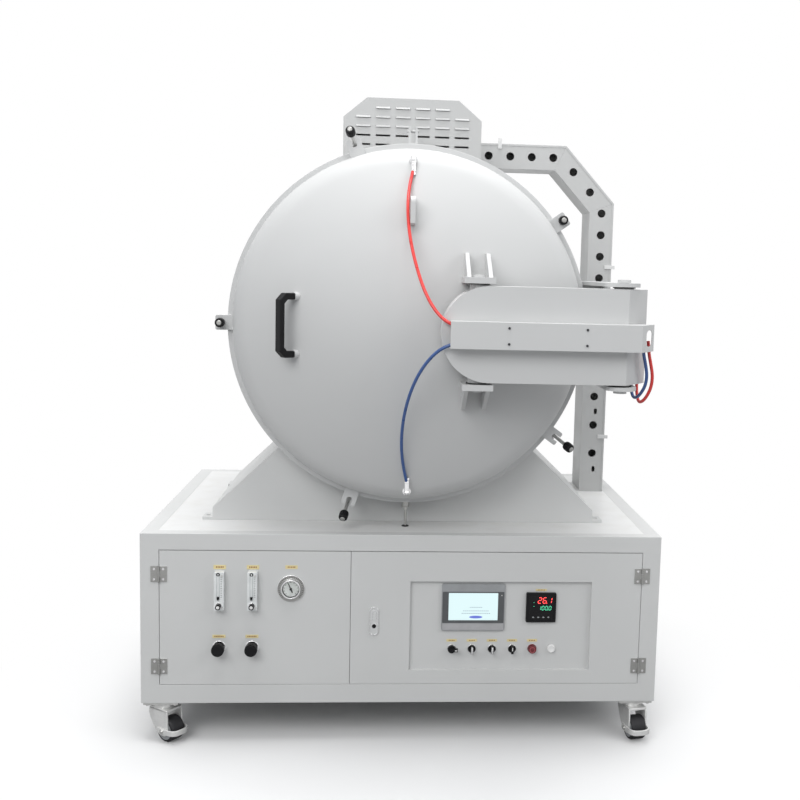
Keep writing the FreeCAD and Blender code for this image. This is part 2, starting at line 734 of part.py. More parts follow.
def make_door():
    tangent = door_face - dish_straight
    wall = head_wall(dish_radius, dish_crown, dish_knuckle, dish_wall, tangent, -1)
    outline = ((flange_bore, door_face), (flange_bore, door_back), (door_radius, door_back),
               (door_radius, door_face), (dish_radius, door_face)) + wall + ((dish_radius - dish_wall, door_face),)
    outer = turned(outline)
    liner = flange_bore - fit_gap
    inner_wall_outline = head_wall(liner, inner_dish_crown, inner_dish_knuckle, inner_wall, tangent, -1)
    inner = turned(((liner, door_back),) + inner_wall_outline + ((liner - inner_wall, door_back),))
    felt_y0, felt_y1 = door_back - 10, front + felt_front - 2
    studs = [cylinder("y", 9, tangent - 118, felt_y0, x=x, z=axis_z + z) for x in (-220, 220) for z in (-220, 220)]
    keep("door_shell", group(outer, fuse(inner, *studs)))
    half = felt_size / 2 - 20
    flat = half - door_felt_corner
    keep("door_felt", pad("XZ", ((-flat, axis_z - half), (flat, axis_z - half), (half, axis_z - flat),
                                 (half, axis_z + flat), (flat, axis_z + half), (-flat, axis_z + half),
                                 (-half, axis_z + flat), (-half, axis_z - flat)), felt_y0, felt_y1))


def make_brackets():
    """What is welded on the dish: two hinge lugs with gussets and pins, a lifting lug, handle bosses."""
    parts = []
    left, right = door_pivot_x - 46, door_pivot_x + 46
    y0, y1 = pivot_y - 46, apex + 60
    for side in (-1, 1):
        seat = axis_z + side * (arm_height / 2 + boss_height + bearing_gap)
        far = seat + side * 18
        low, high = (seat, far) if side == 1 else (far, seat)
        parts.append(box(left, right, y0, y1, low, high))
        for x in (left + 8, right - 20):
            ear = ((y0 + 12, far), (y1, far), (y1, far + side * 72), (y0 + 128, far + side * 72))
            if side == -1:
                ear = tuple(reversed(ear))
            parts.append(pad("YZ", ear, x, x + 12))
        inward = seat - side * 45
        pin_low, pin_high = (inward, far + 8) if side == 1 else (far - 8, inward)
        parts.append(cylinder("z", 12, pin_low, pin_high, x=door_pivot_x, y=pivot_y))
        cap_low, cap_high = (far, far + 7) if side == 1 else (far - 7, far)
        parts.append(cylinder("z", 19, cap_low, cap_high, x=door_pivot_x, y=pivot_y))
    hinges = cut(fuse(*parts), door_form(as_size(0.2)))
    eye = ((apex + 5, axis_z + 322), (apex + 95, axis_z + 312), (apex + 95, axis_z + 403), (apex + 25, axis_z + 403, 20),
           (apex + 5, axis_z + 383))
    lifting = pad("YZ", eye, -7, 7, circles=((apex + 28, axis_z + 365, 11),))
    lifting = cut(lifting, door_form(as_size(0.2)))
    bosses = []
    for z in (-88, 88):
        boss = cylinder("x", 13, -60, -0.2, z=z)
        bosses.append(boss)
    bosses = fuse(*bosses)
    bosses.Placement = handle_place()
    keep("door_brackets", group(hinges, lifting, cut(bosses, door_form(as_size(0.2)))))


def handle_place():
    """The handle stands off the dish to the left, turned 45 degrees, 350 mm from the door's centre."""
    return Placement(Vector(-358, apex.value + 58, axis_z.value + 6), Rotation(Vector(0, 0, 1), 225))


def make_handle():
    outline = ((0, -98), (36, -98), (58, -78), (58, 78), (36, 98), (0, 98), (0, 78), (28, 78), (40, 66),
               (40, -66), (28, -78), (0, -78))
    handle = pad("XZ", outline, -12, 12)
    handle.setExpression("Placement.Base.y", None)
    place = handle_place()
    handle.Placement = place.multiply(Placement(Vector(0, -12, 0), Rotation()))
    keep("door_handle", handle)


def make_fittings():
    """Water elbows at the top and bottom of the door."""
    parts = []
    for side in (-1, 1):
        z = axis_z + side * elbow_rise
        stem = cylinder("y", 9, front - elbow_out, front + 40, z=z)
        nut = cylinder("y", 13, front - elbow_out + 16, front + 40, z=z)
        end = z - side * 30
        low, high = (end, z) if side == 1 else (z, end)
        outlet = cylinder("z", 8, low, high, y=front - elbow_out)
        ball = doc.addObject("Part::Sphere", "Sphere")
        ball.Radius = 9.5
        move(ball, 0, front - elbow_out, z)
        parts.append(cut(fuse(stem, nut, outlet, ball), door_form(as_size(0.1))))
    keep("door_fittings", group(*parts))


def make_arm():
    radius = arm_height / 2
    centre = arm_left + radius

    def shape(inset):
        upper, lower = arm_top - inset, arm_bottom + inset
        bow = radius - inset
        side_view = pad("XZ", ((centre, lower), (arm_right - inset, lower), (arm_right - inset, upper),
                               (centre, upper, bow), (centre - bow, axis_z, bow)), arm_front - 5, arm_back + 5)
        y0, y1 = arm_front + inset, arm_back - inset
        plan = pad("XY", ((arm_left - 5, y0), (arm_bend - inset * 0.5, y0), (arm_right - inset, arm_back - 5 - inset * 0.6),
                          (arm_right - inset, y1), (arm_left - 5, y1)), arm_bottom - 5, arm_top + 5)
        return common(side_view, plan)

    hull = cut(shape(as_size(0)), shape(arm_wall))
    window = pad("XZ", rounded(arm_left + 190, arm_bend - 60, axis_z - 90, axis_z + 90, 30),
                 arm_back - arm_wall - 5, arm_back + 5)
    parts, bores = [cut(hull, window)], []
    for side in (-1, 1):
        outer = axis_z + side * (arm_height / 2 + boss_height)
        inner = axis_z + side * (arm_height / 2 - 55)
        low, high = (inner, outer) if side == 1 else (outer, inner)
        parts.append(cylinder("z", 28, low, high, x=door_pivot_x, y=pivot_y))
        bores.append(cylinder("z", 12 + running_gap, low - 1, high + 1, x=door_pivot_x, y=pivot_y))
        parts.append(cylinder("z", 30, low, high, x=arm_pivot_x, y=pivot_y))
        plate = axis_z + side * (arm_height / 2 + boss_height + bearing_gap * 2 + 12)
        pin_low, pin_high = (inner, plate + 9) if side == 1 else (plate - 9, inner)
        parts.append(cylinder("z", 15, pin_low, pin_high, x=arm_pivot_x, y=pivot_y))
        cap_low, cap_high = (plate, plate + 9) if side == 1 else (plate - 9, plate)
        parts.append(cylinder("z", 20, cap_low, cap_high, x=arm_pivot_x, y=pivot_y))
    keep("swing_arm", cut(fuse(*parts), *bores))

    t = trough_sheet
    low, high = axis_z - trough_height / 2, axis_z + trough_height / 2
    rise = trough_end - trough_bend
    run = arm_depth * 0.75
    face = pad("XY", ((trough_left, trough_front), (trough_bend, trough_front), (trough_end, trough_front + run),
                      (trough_end - t, trough_front + run + t), (trough_bend - t * 0.4, trough_front + t),
                      (trough_left, trough_front + t)), low, high)
    seat = arm_front - fit_gap
    shelves = [box(trough_left, arm_bend - 8, trough_front + 1, seat, z, z + t) for z in (low, high - t)]
    lean = (arm_depth - 5) / (arm_right - arm_bend)
    tip = rise * 0.55
    wedge = pad("XY", ((arm_bend - 9, trough_front + 1), (trough_bend - 1, trough_front + 1),
                       (trough_end - t, trough_front + run + 1), (arm_bend + tip, seat - 0.2 + lean * tip),
                       (arm_bend, seat), (arm_bend - 9, seat)), high - t, high)
    window = pad("XZ", rounded(trough_bend + 18, trough_end - 10, axis_z - 24, axis_z + 24, 12),
                 trough_front + 5, trough_front + run + 20)
    keep("hose_trough", cut(fuse(face, wedge, *shelves), window))


def make_arm_bracket():
    """Two plates and a web on the chamber's right side, which carry the arm's pins."""
    left, right = arm_pivot_x - 48, arm_pivot_x + 48
    reach = front + 330
    inner = front + 165
    parts = []
    for side in (-1, 1):
        seat = axis_z + side * (arm_height / 2 + boss_height + bearing_gap)
        far = seat + side * 12
        low, high = (seat, far) if side == 1 else (far, seat)
        outline = ((left, pivot_y, 48), (arm_pivot_x, pivot_y - 48, 48), (right, pivot_y), (right, reach),
                   (460, reach), (460, inner), (left, inner))
        parts.append(pad("XY", outline, low, high, circles=((arm_pivot_x, pivot_y, 15 + running_gap),)))
    z0 = axis_z - arm_height / 2 - boss_height - bearing_gap
    z1 = axis_z + arm_height / 2 + boss_height + bearing_gap
    parts.append(box(right - 12, right, inner + 60, reach, z0 - 1, z1 + 1))
    parts.append(box(500, right - 11, inner + 100, inner + 112, z0 - 1, z1 + 1))
    tab_y = pivot_y + 107
    parts.append(box(right - 1, right + 8, tab_y, tab_y + 40, z0 - 12, z0 + 70))
    parts.append(box(right, right + 44, tab_y, tab_y + 40, z0 + 62, z0 + 70))
    for x in (15, 34):
        parts.append(cylinder("z", 8, z0 + 44, z0 + 63, x=right + x, y=tab_y + 20))
    shell = cylinder("y", shell_radius + 0.1, front + 100, front + shell_end, z=axis_z)
    keep("arm_bracket", cut(fuse(*parts), shell))


def make_water_line():
    """Lower water connection of the chamber's flange and its line into the cabinet."""
    y = front + 122
    low = axis_z - flange_radius
    nut = cylinder("z", 13, low - 22, low - 0.2, y=y + 12)
    line = cylinder("z", 4, top - 30, low - 20, y=y)
    elbow = box(-6, 6, y - 4, y + 12, low - 30, low - 21)
    keep("water_lines", fuse(nut, line, elbow))


def make_equipment():
    """Vacuum pump and power transformer inside the cabinet."""
    z = base + sheet_metal
    y = front + 480
    pump = fuse(box(-640, -330, y - 90, y + 90, z, z + 14), box(-640, -470, y - 70, y + 70, z + 14, z + 230),
                cylinder("x", 78, -471, -340, y=y, z=z + 110), box(-470, -380, y - 40, y + 40, z + 13, z + 60),
                cylinder("z", 22, z + 229, z + 290, x=-590, y=y),
                cylinder("z", 22, z + 229, z + 270, x=-520, y=y))
    core = [box(180, 620, y - 45, y + 45, z, z + 60), box(180, 620, y - 45, y + 45, z + 290, z + 350)]
    coils = []
    for x in (230, 400, 570):
        core.append(box(x - 30, x + 30, y - 30, y + 30, z + 59, z + 291))
        coils.append(cylinder("z", 72, z + 75, z + 275, x=x, y=y))
    feet = [box(170, 630, y + s - 8, y + s + 8, z, z + 40) for s in (-44, 44)]
    keep("cabinet_equipment", group(pump, fuse(*core, *coils, *feet)))


HINGE_LEVELS = (126, 434)


def make_hinges():
    """The cabinet's half of the four butt hinges, with their pins."""
    half = cabinet_width / 2 - stile_width
    leaves = []
    for side in (-1, 1):
        for level in HINGE_LEVELS:
            z = base + level
            leaf = span(side * (half + 3.2), side * (half + 26), front - 2, front, z - 26, z + 26)
            pin_y = front - 5
            parts = [leaf, cylinder("z", 2, z - 26, z + 26, x=side * half, y=pin_y)]
            for low, high in ((-26, -9), (9, 26)):
                parts.append(cylinder("z", 4, z + low, z + high, x=side * half, y=pin_y))
                parts.append(span(side * (half + 1), side * (half + 5), pin_y, front - 1, z + low, z + high))
            leaves.append(fuse(*parts))
    keep("cabinet_hinges", group(*leaves))


def door_leaves(side):
    """The door's half of its two butt hinges."""
    half = cabinet_width / 2 - stile_width
    parts = []
    for level in HINGE_LEVELS:
        z = base + level
        pin_y = front - 5
        leaf = span(side * (half - 3.2), side * (half - 26), front - 2, front, z - 26, z + 26)
        knuckle = cylinder("z", 4, z - 8.6, z + 8.6, x=side * half, y=pin_y)
        bridge = span(side * (half - 1), side * (half - 5), pin_y, front - 1, z - 8.6, z + 8.6)
        bore = cylinder("z", 2 + running_gap, z - 9, z + 9, x=side * half, y=pin_y)
        parts.append(cut(fuse(leaf, knuckle, bridge), bore))
    return parts


def door_sheet(x0, x1, extra=(), holes=()):
    """A folded door: the front sheet with its four edges turned back."""
    z0, z1 = base + bottom_rail + door_gap, top - top_rail - door_gap
    whole = box(x0, x1, front, front + door_pan, z0, z1)
    hollow = box(x0 + sheet_metal, x1 - sheet_metal, front + sheet_metal, front + door_pan + 1,
                 z0 + sheet_metal, z1 - sheet_metal)
    shell = cut(whole, hollow)
    return cut(fuse(shell, *extra) if extra else shell, *holes)


def make_left_door():
    """Left cabinet door with two flow meters, a pressure gauge and two valves."""
    x0 = stile_width - cabinet_width / 2 + door_gap
    x1 = -split_from_centre - door_gap / 2
    gauge_x, gauge_z = as_size(-368), top - 180
    hole = cylinder("y", 33, front - 5, front + 5, x=gauge_x, z=gauge_z)
    door = door_sheet(x0, x1, holes=(hole,))
    keep("left_door", fuse(door, *door_leaves(-1)))

    parts = []
    for number, x in enumerate((-596.5, -490.5), 1):
        z = top - 185
        body = box(x - 16, x + 16, front - 22, front, z - 64, z + 64)
        window = box(x - 5, x + 5, front - 23, front - 14, z - 28, z + 50)
        tube_glass = cylinder("z", 4, z - 30, z + 52, x=x, y=front - 17)
        seat = cylinder("y", 7.5, front - 25, front - 21, x=x, z=z - 47)
        bore = cylinder("y", 3 + running_gap, front - 26, front - 12, x=x, z=z - 47)
        parts.append(cut(fuse(cut(body, window), tube_glass, seat), bore))
        knob = fuse(cylinder("y", 8.5, front - 41, front - 25.4, x=x, z=z - 47),
                    cylinder("y", 3, front - 26, front - 14, x=x, z=z - 47))
        keep("flow_knob_%d" % number, knob)
        valve_z = top - 378.5
        stem = cylinder("y", 6, front - 14, front - 2.5, x=x - 2.5, z=valve_z)
        grip = cylinder("y", 19.5, front - 34, front - 12, x=x - 2.5, z=valve_z)
        skirt = cylinder("y", 15, front - 12.5, front - 6, x=x - 2.5, z=valve_z)
        keep("valve_knob_%d" % number, fuse(stem, grip, skirt))
        parts.append(cylinder("y", 13, front - 2.2, front, x=x - 2.5, z=valve_z))
    case = fuse(cylinder("y", 32, front - 3, front + 42, x=gauge_x, z=gauge_z),
                cylinder("y", 44.5, front - 4, front, x=gauge_x, z=gauge_z),
                cut(cylinder("y", 31, front - 16, front - 3, x=gauge_x, z=gauge_z),
                    cylinder("y", 26, front - 17, front - 7, x=gauge_x, z=gauge_z)),
                cylinder("y", 2, front - 12, front - 3, x=gauge_x, z=gauge_z))
    keep("gas_instruments", group(case, *parts))


SWITCHES = (160.5, 227.8, 295, 362.2, 429.5, 494)


def make_right_door():
    """Right cabinet door with its recessed control panel."""
    x0 = door_gap / 2 - split_from_centre
    x1 = cabinet_width / 2 - stile_width - door_gap
    panel = (20, 622, top - 457, top - 155)
    floor_y = front + recess_depth
    rim = sheet_metal
    pan = box(panel[0] - rim, panel[1] + rim, front + 0.5, floor_y + rim, panel[2] - rim, panel[3] + rim)
    pocket = box(panel[0], panel[1], front - 1, floor_y, panel[2], panel[3])
    screen_x, screen_z = 229, top - 244
    control_x, control_z = 455, top - 244
    holes = [pocket,
             box(screen_x - 90, screen_x + 90, floor_y - 1, floor_y + 5, screen_z - 62, screen_z + 62),
             box(control_x - 45.5, control_x + 45.5, floor_y - 1, floor_y + 5, control_z - 45.5, control_z + 45.5)]
    row = top - switch_drop
    for x in SWITCHES[:5]:
        holes.append(cylinder("y", 11, floor_y - 1, floor_y + 5, x=x, z=row))
    lock_x, lock_z = as_size(-97), top - 289
    holes.append(cylinder("y", 9, front - 1, front + 5, x=lock_x, z=lock_z - 16))
    door = door_sheet(x0, x1, (pan,), holes)
    rings = [cut(cylinder("y", 15, floor_y - 4, floor_y, x=x, z=row), cylinder("y", 11, floor_y - 5, floor_y + 1,
                 x=x, z=row)) for x in SWITCHES[:5]]
    blank = cylinder("y", 13, floor_y - 8, floor_y, x=SWITCHES[5], z=row)
    plate = pad("XZ", rounded(lock_x - 15, lock_x + 15, lock_z - 48, lock_z + 48, 14), front - 3, front,
                circles=((lock_x, lock_z - 16, 9),))
    keep("right_door", fuse(door, blank, plate, *rings, *door_leaves(1)))

    bezel = pad("XZ", rounded(screen_x - 105, screen_x + 105, screen_z - 79, screen_z + 79, as_size(6)),
                floor_y - 7, floor_y)
    glass = box(screen_x - 82, screen_x + 82, floor_y - 8, floor_y - 6, screen_z - 44, screen_z + 49)
    body = box(screen_x - 89, screen_x + 89, floor_y - 1, floor_y + 40, screen_z - 61, screen_z + 61)
    keep("touch_screen", fuse(cut(bezel, glass), body))
    front_frame = pad("XZ", rounded(as_size(control_x - 50), as_size(control_x + 50), control_z - 50, control_z + 50,
                                    as_size(4)), floor_y - 9, floor_y)
    face = box(control_x - 43, control_x + 43, floor_y - 10, floor_y - 7, control_z - 43, control_z + 43)
    case = box(control_x - 45, control_x + 45, floor_y - 1, floor_y + 75, control_z - 45, control_z + 45)
    keep("temperature_controller", fuse(cut(front_frame, face), case))

    names = ("lever_switch", "selector_1", "selector_2", "selector_3", "stop_button")
    for name, x in zip(names, SWITCHES):
        stem = cylinder("y", 10.6, floor_y - 5, floor_y + 14, x=x, z=row)
        if name == "lever_switch":
            top_piece = fuse(cylinder("y", 12.5, floor_y - 16, floor_y - 4.4, x=x, z=row),
                             box(x - 4, x + 20, floor_y - 26, floor_y - 15, row - 5, row + 5))
        elif name == "stop_button":
            top_piece = cylinder("y", 12.5, floor_y - 19, floor_y - 9, x=x, z=row)
            stem = cylinder("y", 10.6, floor_y - 10, floor_y + 14, x=x, z=row)
        else:
            top_piece = fuse(cylinder("y", 12.5, floor_y - 11, floor_y - 4.4, x=x, z=row),
                             box(x - 4, x + 4, floor_y - 25, floor_y - 10, row - 12, row + 12))
        keep(name, fuse(stem, top_piece))

    core = cylinder("y", 8.7, front - 5, front + 26, x=lock_x, z=lock_z - 16)
    spindle = cylinder("y", 4, front + 25, front + 78, x=lock_x, z=lock_z - 16)
    tongue = box(lock_x - 10, lock_x + 10, front + 72, front + 76, lock_z - 16 - 84, lock_z - 4)
    keep("door_latch", fuse(core, spindle, tongue))


def make_casters():
    """Four swivel casters with brake hoops, turned as casters stand after a move."""
    plates = []
    spots = [(-1, 0, -37), (1, 0, -78), (-1, 1, 60), (1, 1, 105)]
    for number, (side, rear, yaw) in enumerate(spots, 1):
        x = side * caster_x
        y = back - caster_y if rear else front + caster_y
        plate = box(x - 56, x + 56, y - 50, y + 50, base - 6, base)
        ring = cylinder("z", 38, base - 14, base - 6, x=x, y=y)
        bolts = [cylinder("z", 7, base - 11, base - 6, x=x + sx * 44, y=y + sy * 38)
                 for sx in (-1, 1) for sy in (-1, 1)]
        plates.append(fuse(plate, ring, *bolts))

        half = wheel_width / 2
        wheel_top = 2 * wheel_radius
        crown_z = base - 14.4
        head_ring = cylinder("z", 34, crown_z - 12, crown_z)
        crown = box(-30, caster_trail + 16, -half - 8, half + 8, crown_z - 18, crown_z - 11)
        cheeks = []
        for s in (-1, 1):
            inner, outer = (half + 2, half + 8) if s == 1 else (-half - 8, -half - 2)
            cheek = pad("XZ", ((-30, crown_z - 17), (-30, crown_z - 32), (caster_trail - 15, wheel_radius - 13),
                               (caster_trail + 15, wheel_radius - 13), (caster_trail + 16, crown_z - 17)),
                        inner, outer)
            cheeks.append(cheek)
        axle = cylinder("y", 6, -half - 14, half + 14, x=caster_trail, z=wheel_radius)
        hoop_x = caster_trail + wheel_radius + 8
        hoop = fuse(box(hoop_x - 4, hoop_x + 12, -half - 16, half + 16, wheel_radius - 6, wheel_radius + 8),
                    box(caster_trail + 10, hoop_x + 1, half + 7, half + 16, wheel_radius - 6, wheel_radius + 8),
                    box(caster_trail + 10, hoop_x + 1, -half - 16, -half - 7, wheel_radius - 6, wheel_radius + 8))
        fork = fuse(head_ring, crown, axle, hoop, *cheeks)
        place = Placement(Vector(x.value, y.value, 0), Rotation(Vector(0, 0, 1), yaw))
        fork.Placement = place
        keep("caster_fork_%d" % number, fork)

        tread = half - 5
        body, sketch = sketched_body("XY", (((6 + running_gap, -half - 1), (wheel_radius - 9, -half - 1),
                                             (wheel_radius - 6, -half), (wheel_radius - 3, -half),
                                             (wheel_radius, -tread), (wheel_radius, tread),
                                             (wheel_radius - 3, half), (wheel_radius - 6, half),
                                             (wheel_radius - 9, half + 1), (6 + running_gap, half + 1)),))
        spin = body.newObject("PartDesign::Revolution", "Revolution")
        spin.Profile = sketch
        spin.ReferenceAxis = (sketch, ["V_Axis"])
        spin.Angle = 360
        body.Placement = place.multiply(Placement(Vector(caster_trail.value, 0, wheel_radius.value), Rotation()))
        keep("caster_wheel_%d" % number, body)
    keep("caster_plates", group(*plates))


# Hose routes: x, y ahead of the cabinet's face, z above the chamber's axis
RED_FRONT = [(0, -60, 492), (-6, -74, 464), (-13, -102, 424), (-16, -136, 376), (-13, -166, 316), (-3, -198, 252),
             (14, -232, 186), (36, -266, 122), (66, -294, 68), (102, -311, 33), (134, -316, 23)]
BLUE_FRONT = [(0, -60, -492), (-8, -77, -458), (-16, -106, -412), (-21, -138, -360), (-20, -168, -300),
              (-12, -202, -236), (4, -236, -172), (28, -268, -114), (60, -294, -66), (98, -310, -34),
              (134, -316, -24)]
RED_REAR = [(710, -250, -10), (713, -250, -44), (722, -247, -80), (731, -240, -116), (732, -226, -152),
            (724, -206, -184), (716, -184, -202), (712, -158, -206), (712, -134, -190), (713, -119, -164),
            (714, -115.4, -134), (714, -115.4, -104.7)]
BLUE_REAR = [(690, -262, -12), (694, -262, -46), (704, -257, -82), (712, -247, -116), (712, -231, -148),
             (705, -208, -174), (699, -182, -190), (695, -155, -192), (694, -132, -177), (695, -118, -152),
             (695, -115.4, -124), (695, -115.4, -104.7)]


def tube_solid(points, radius):
    """A hose of straight runs joined by tangent arcs."""
    points = [Vector(*p) for p in points]
    edges = []
    start = points[0]
    radii = []
    for before, corner, after in zip(points, points[1:], points[2:]):
        run_in, run_out = corner - before, after - corner
        turn = run_in.getAngle(run_out)
        bend = 0.45 * min(run_in.Length, run_out.Length) / math.tan(turn / 2)
        radii.append(bend)
        leg = bend * math.tan(turn / 2)
        unit_in, unit_out = Vector(run_in).normalize(), Vector(run_out).normalize()
        first, last = corner - unit_in * leg, corner + unit_out * leg
        bisector = (unit_out - unit_in).normalize()
        middle = corner + bisector * (bend / math.cos(turn / 2) - bend)
        edges.append(Part.LineSegment(start, first).toShape())
        edges.append(Part.Arc(first, middle, last).toShape())
        start = last
    edges.append(Part.LineSegment(start, points[-1]).toShape())
    path = Part.Wire(edges)
    direction = Vector(points[1] - points[0]).normalize()
    ring = Part.Wire([Part.makeCircle(radius, points[0], direction)])
    solid = path.makePipeShell([ring], True, True)
    expected = math.pi * radius * radius * path.Length
    print("hose length %.0f, tightest bend %.0f, volume ratio %.4f"
          % (path.Length, min(radii), solid.Volume / expected))
    return solid


def hose(name, points):
    obj = doc.addObject("Part::Feature", "Hose")
    obj.Shape = tube_solid(points, hose_radius.value)
    keep(name, obj)


def make_hoses():
    """Front hoses from the door's elbows into the trough, rear hoses from the trough to the bracket."""
    routes = {"red_hose_front": RED_FRONT, "blue_hose_front": BLUE_FRONT,
              "red_hose_rear": RED_REAR, "blue_hose_rear": BLUE_REAR}
    for name, route in routes.items():
        hose(name, [(x, front.value + y, axis_z.value + z) for x, y, z in route])


make_cabinet()
make_saddle()
make_chamber()
make_hot_zone()
make_vent_cover()
make_duct()
make_clamps()
make_door()
make_brackets()
make_handle()
make_fittings()
make_arm()
make_arm_bracket()
make_water_line()
make_equipment()
make_hinges()
make_left_door()
make_right_door()
make_casters()
make_hoses()

doc.recompute()
for obj in doc.Objects:
    if "Invalid" in obj.State or "Error" in obj.State:
        raise RuntimeError("%s (%s) failed: %s" % (obj.Label, obj.Name, obj.State))
for name, obj in nodes.items():
    if obj.Shape.isNull() or not obj.Shape.isValid() or not obj.Shape.Solids:
        raise RuntimeError(name + " has no valid solid")

os.makedirs("parts", exist_ok=True)
for name, obj in nodes.items():
    obj.Shape.exportStep("parts/" + name + ".step")
    print("%-24s %2d solids %10.0f mm3" % (name, len(obj.Shape.Solids), obj.Shape.Volume))
print(len(nodes), "pieces")
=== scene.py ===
# %% [markdown]
# # A vacuum sintering furnace
# A sintering furnace heats pressed powder parts in a vacuum until they fuse. The round vessel is a
# water-cooled steel jacket, closed by a dished door that hangs on a swing arm. It lies on a cabinet with
# casters, which holds the pump, the transformer and the controls. This lesson dresses the furnace's CAD
# model in Blender. The CAD model is the fixed frame: nothing in it is moved, and each new piece except the
# hoses rides on one of its bodies, so that the doors, bolts and knobs still move.

# %% Load the frame
import json
import math

import bmesh
import bpy
from mathutils import Matrix, Vector

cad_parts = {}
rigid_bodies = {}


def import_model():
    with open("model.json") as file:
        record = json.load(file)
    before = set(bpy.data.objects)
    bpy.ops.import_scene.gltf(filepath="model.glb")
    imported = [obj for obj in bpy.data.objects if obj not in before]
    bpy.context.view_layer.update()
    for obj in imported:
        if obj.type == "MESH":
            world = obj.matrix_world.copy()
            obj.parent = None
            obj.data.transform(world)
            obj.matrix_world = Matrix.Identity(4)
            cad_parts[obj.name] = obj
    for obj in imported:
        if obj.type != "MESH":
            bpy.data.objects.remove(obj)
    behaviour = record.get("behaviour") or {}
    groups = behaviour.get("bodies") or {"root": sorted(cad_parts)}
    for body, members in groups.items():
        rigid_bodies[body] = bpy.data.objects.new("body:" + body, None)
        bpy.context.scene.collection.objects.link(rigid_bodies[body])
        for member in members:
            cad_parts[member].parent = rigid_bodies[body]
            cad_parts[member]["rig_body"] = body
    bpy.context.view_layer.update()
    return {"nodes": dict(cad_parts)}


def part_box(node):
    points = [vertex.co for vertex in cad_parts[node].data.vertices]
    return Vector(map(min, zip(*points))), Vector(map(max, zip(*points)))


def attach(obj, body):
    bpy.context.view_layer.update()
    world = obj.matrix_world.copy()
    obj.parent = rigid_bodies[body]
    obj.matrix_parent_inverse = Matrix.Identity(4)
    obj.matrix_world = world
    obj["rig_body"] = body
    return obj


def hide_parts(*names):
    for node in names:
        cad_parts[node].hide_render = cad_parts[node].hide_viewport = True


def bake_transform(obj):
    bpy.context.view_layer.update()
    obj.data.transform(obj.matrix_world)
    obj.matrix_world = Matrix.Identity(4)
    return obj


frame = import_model()
NODES = frame["nodes"]
print("frame loaded:", len(NODES), "nodes")

# %% [markdown]
# ## Places that the pieces share
# Sizes are read from the frame where it can give them, so that a piece stays on its seat when the model
# changes. FRONT is the plane of the cabinet's front, TABLE the height of its table, and AXIS the height of
# the vessel's centre line. Distances are written in millimetres, as a maker would, and turned to metres.

# %% Datum planes
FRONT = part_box("cabinet_frame")[0].y
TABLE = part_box("cabinet_frame")[1].z
AXIS = sum(corner.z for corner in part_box("swing_arm")) / 2
CENTRE = Vector((0, FRONT, AXIS))
RIGHT = "right_cabinet_door"
LEFT = "left_cabinet_door"


def mm(*lengths):
    """Millimetres to metres, as a number or a vector."""
    if len(lengths) == 1:
        return lengths[0] / 1000
    return Vector(lengths) / 1000


def on_front(x, y, z):
    """A point from the cabinet's front plane and the table's height."""
    return mm(x, y, z) + Vector((0, FRONT, TABLE))


def on_axis(x, y, z):
    """A point from the cabinet's front plane and the vessel's centre line."""
    return mm(x, y, z) + CENTRE


print("front %.4f, table %.4f, axis %.4f" % (FRONT, TABLE, AXIS))

# %% [markdown]
# ## The camera
# The photograph was taken from a little left of the middle, at about eye height, with a normal lens. Its
# frame was cropped off centre, which a small lens shift repeats. The place was found by matching the
# cabinet's eight corners.

# %% Camera
camera_data = bpy.data.cameras.new("Camera")
camera_data.lens = 45.35
camera_data.sensor_width = 36
camera_data.shift_x = -0.0819
camera_data.shift_y = -0.0242
camera_data.clip_end = 60
camera = bpy.data.objects.new("Camera", camera_data)
bpy.context.scene.collection.objects.link(camera)
camera.location = (-0.0531, FRONT - 3.2191, 1.5596)
camera.rotation_euler = [math.radians(angle) for angle in (83.9282, -1.5245, -4.0285)]
bpy.context.scene.camera = camera
print("camera at", [round(value, 3) for value in camera.location])

# %% [markdown]
# ## Light and floor
# The studio light is soft and comes mostly from above: the table is almost white, the front is a middle
# grey, and the dished door darkens towards its lower half. Three lamps and a pale surround give that: a wide
# one overhead, a weaker one high on the left behind the camera, and a small one that lifts the right side.
# The floor is pale and keeps the shadow under the cabinet. Further out it turns to the plain white that the
# camera sees behind the furnace. Node trees are long to write out, so one helper makes each of their nodes.

# %% Lamps and surround
SURROUND_LIGHT = 0.37


def add_node(tree, kind, wires=None, **settings):
    """A node with its settings. A wire gives an input its value, or links it to another node's output."""
    made = tree.nodes.new(kind)
    for name, value in settings.items():
        setattr(made, name, value)
    for label, value in (wires or {}).items():
        if isinstance(value, bpy.types.NodeSocket):
            tree.links.new(value, made.inputs[label])
        else:
            made.inputs[label].default_value = value
    return made


def area_lamp(name, place, target, size_x, size_y, power):
    """A wide lamp that points at a target."""
    data = bpy.data.lights.new(name, "AREA")
    data.shape = "RECTANGLE"
    data.size = size_x
    data.size_y = size_y
    data.energy = power
    lamp = bpy.data.objects.new(name, data)
    bpy.context.scene.collection.objects.link(lamp)
    lamp.location = place
    lamp.rotation_euler = (Vector(target) - Vector(place)).to_track_quat("-Z", "Y").to_euler()


area_lamp("Lamp_key", (-2.3, -4.8, 4.3), (0, -0.3, 1.2), 4.0, 3.0, 180)
area_lamp("Lamp_overhead", (0.2, -0.1, 7.0), (0, 0.0, 1.0), 5.0, 4.0, 385)
area_lamp("Lamp_right", (3.4, -2.2, 3.2), (0.4, 0, 1.2), 2.2, 2.2, 44)

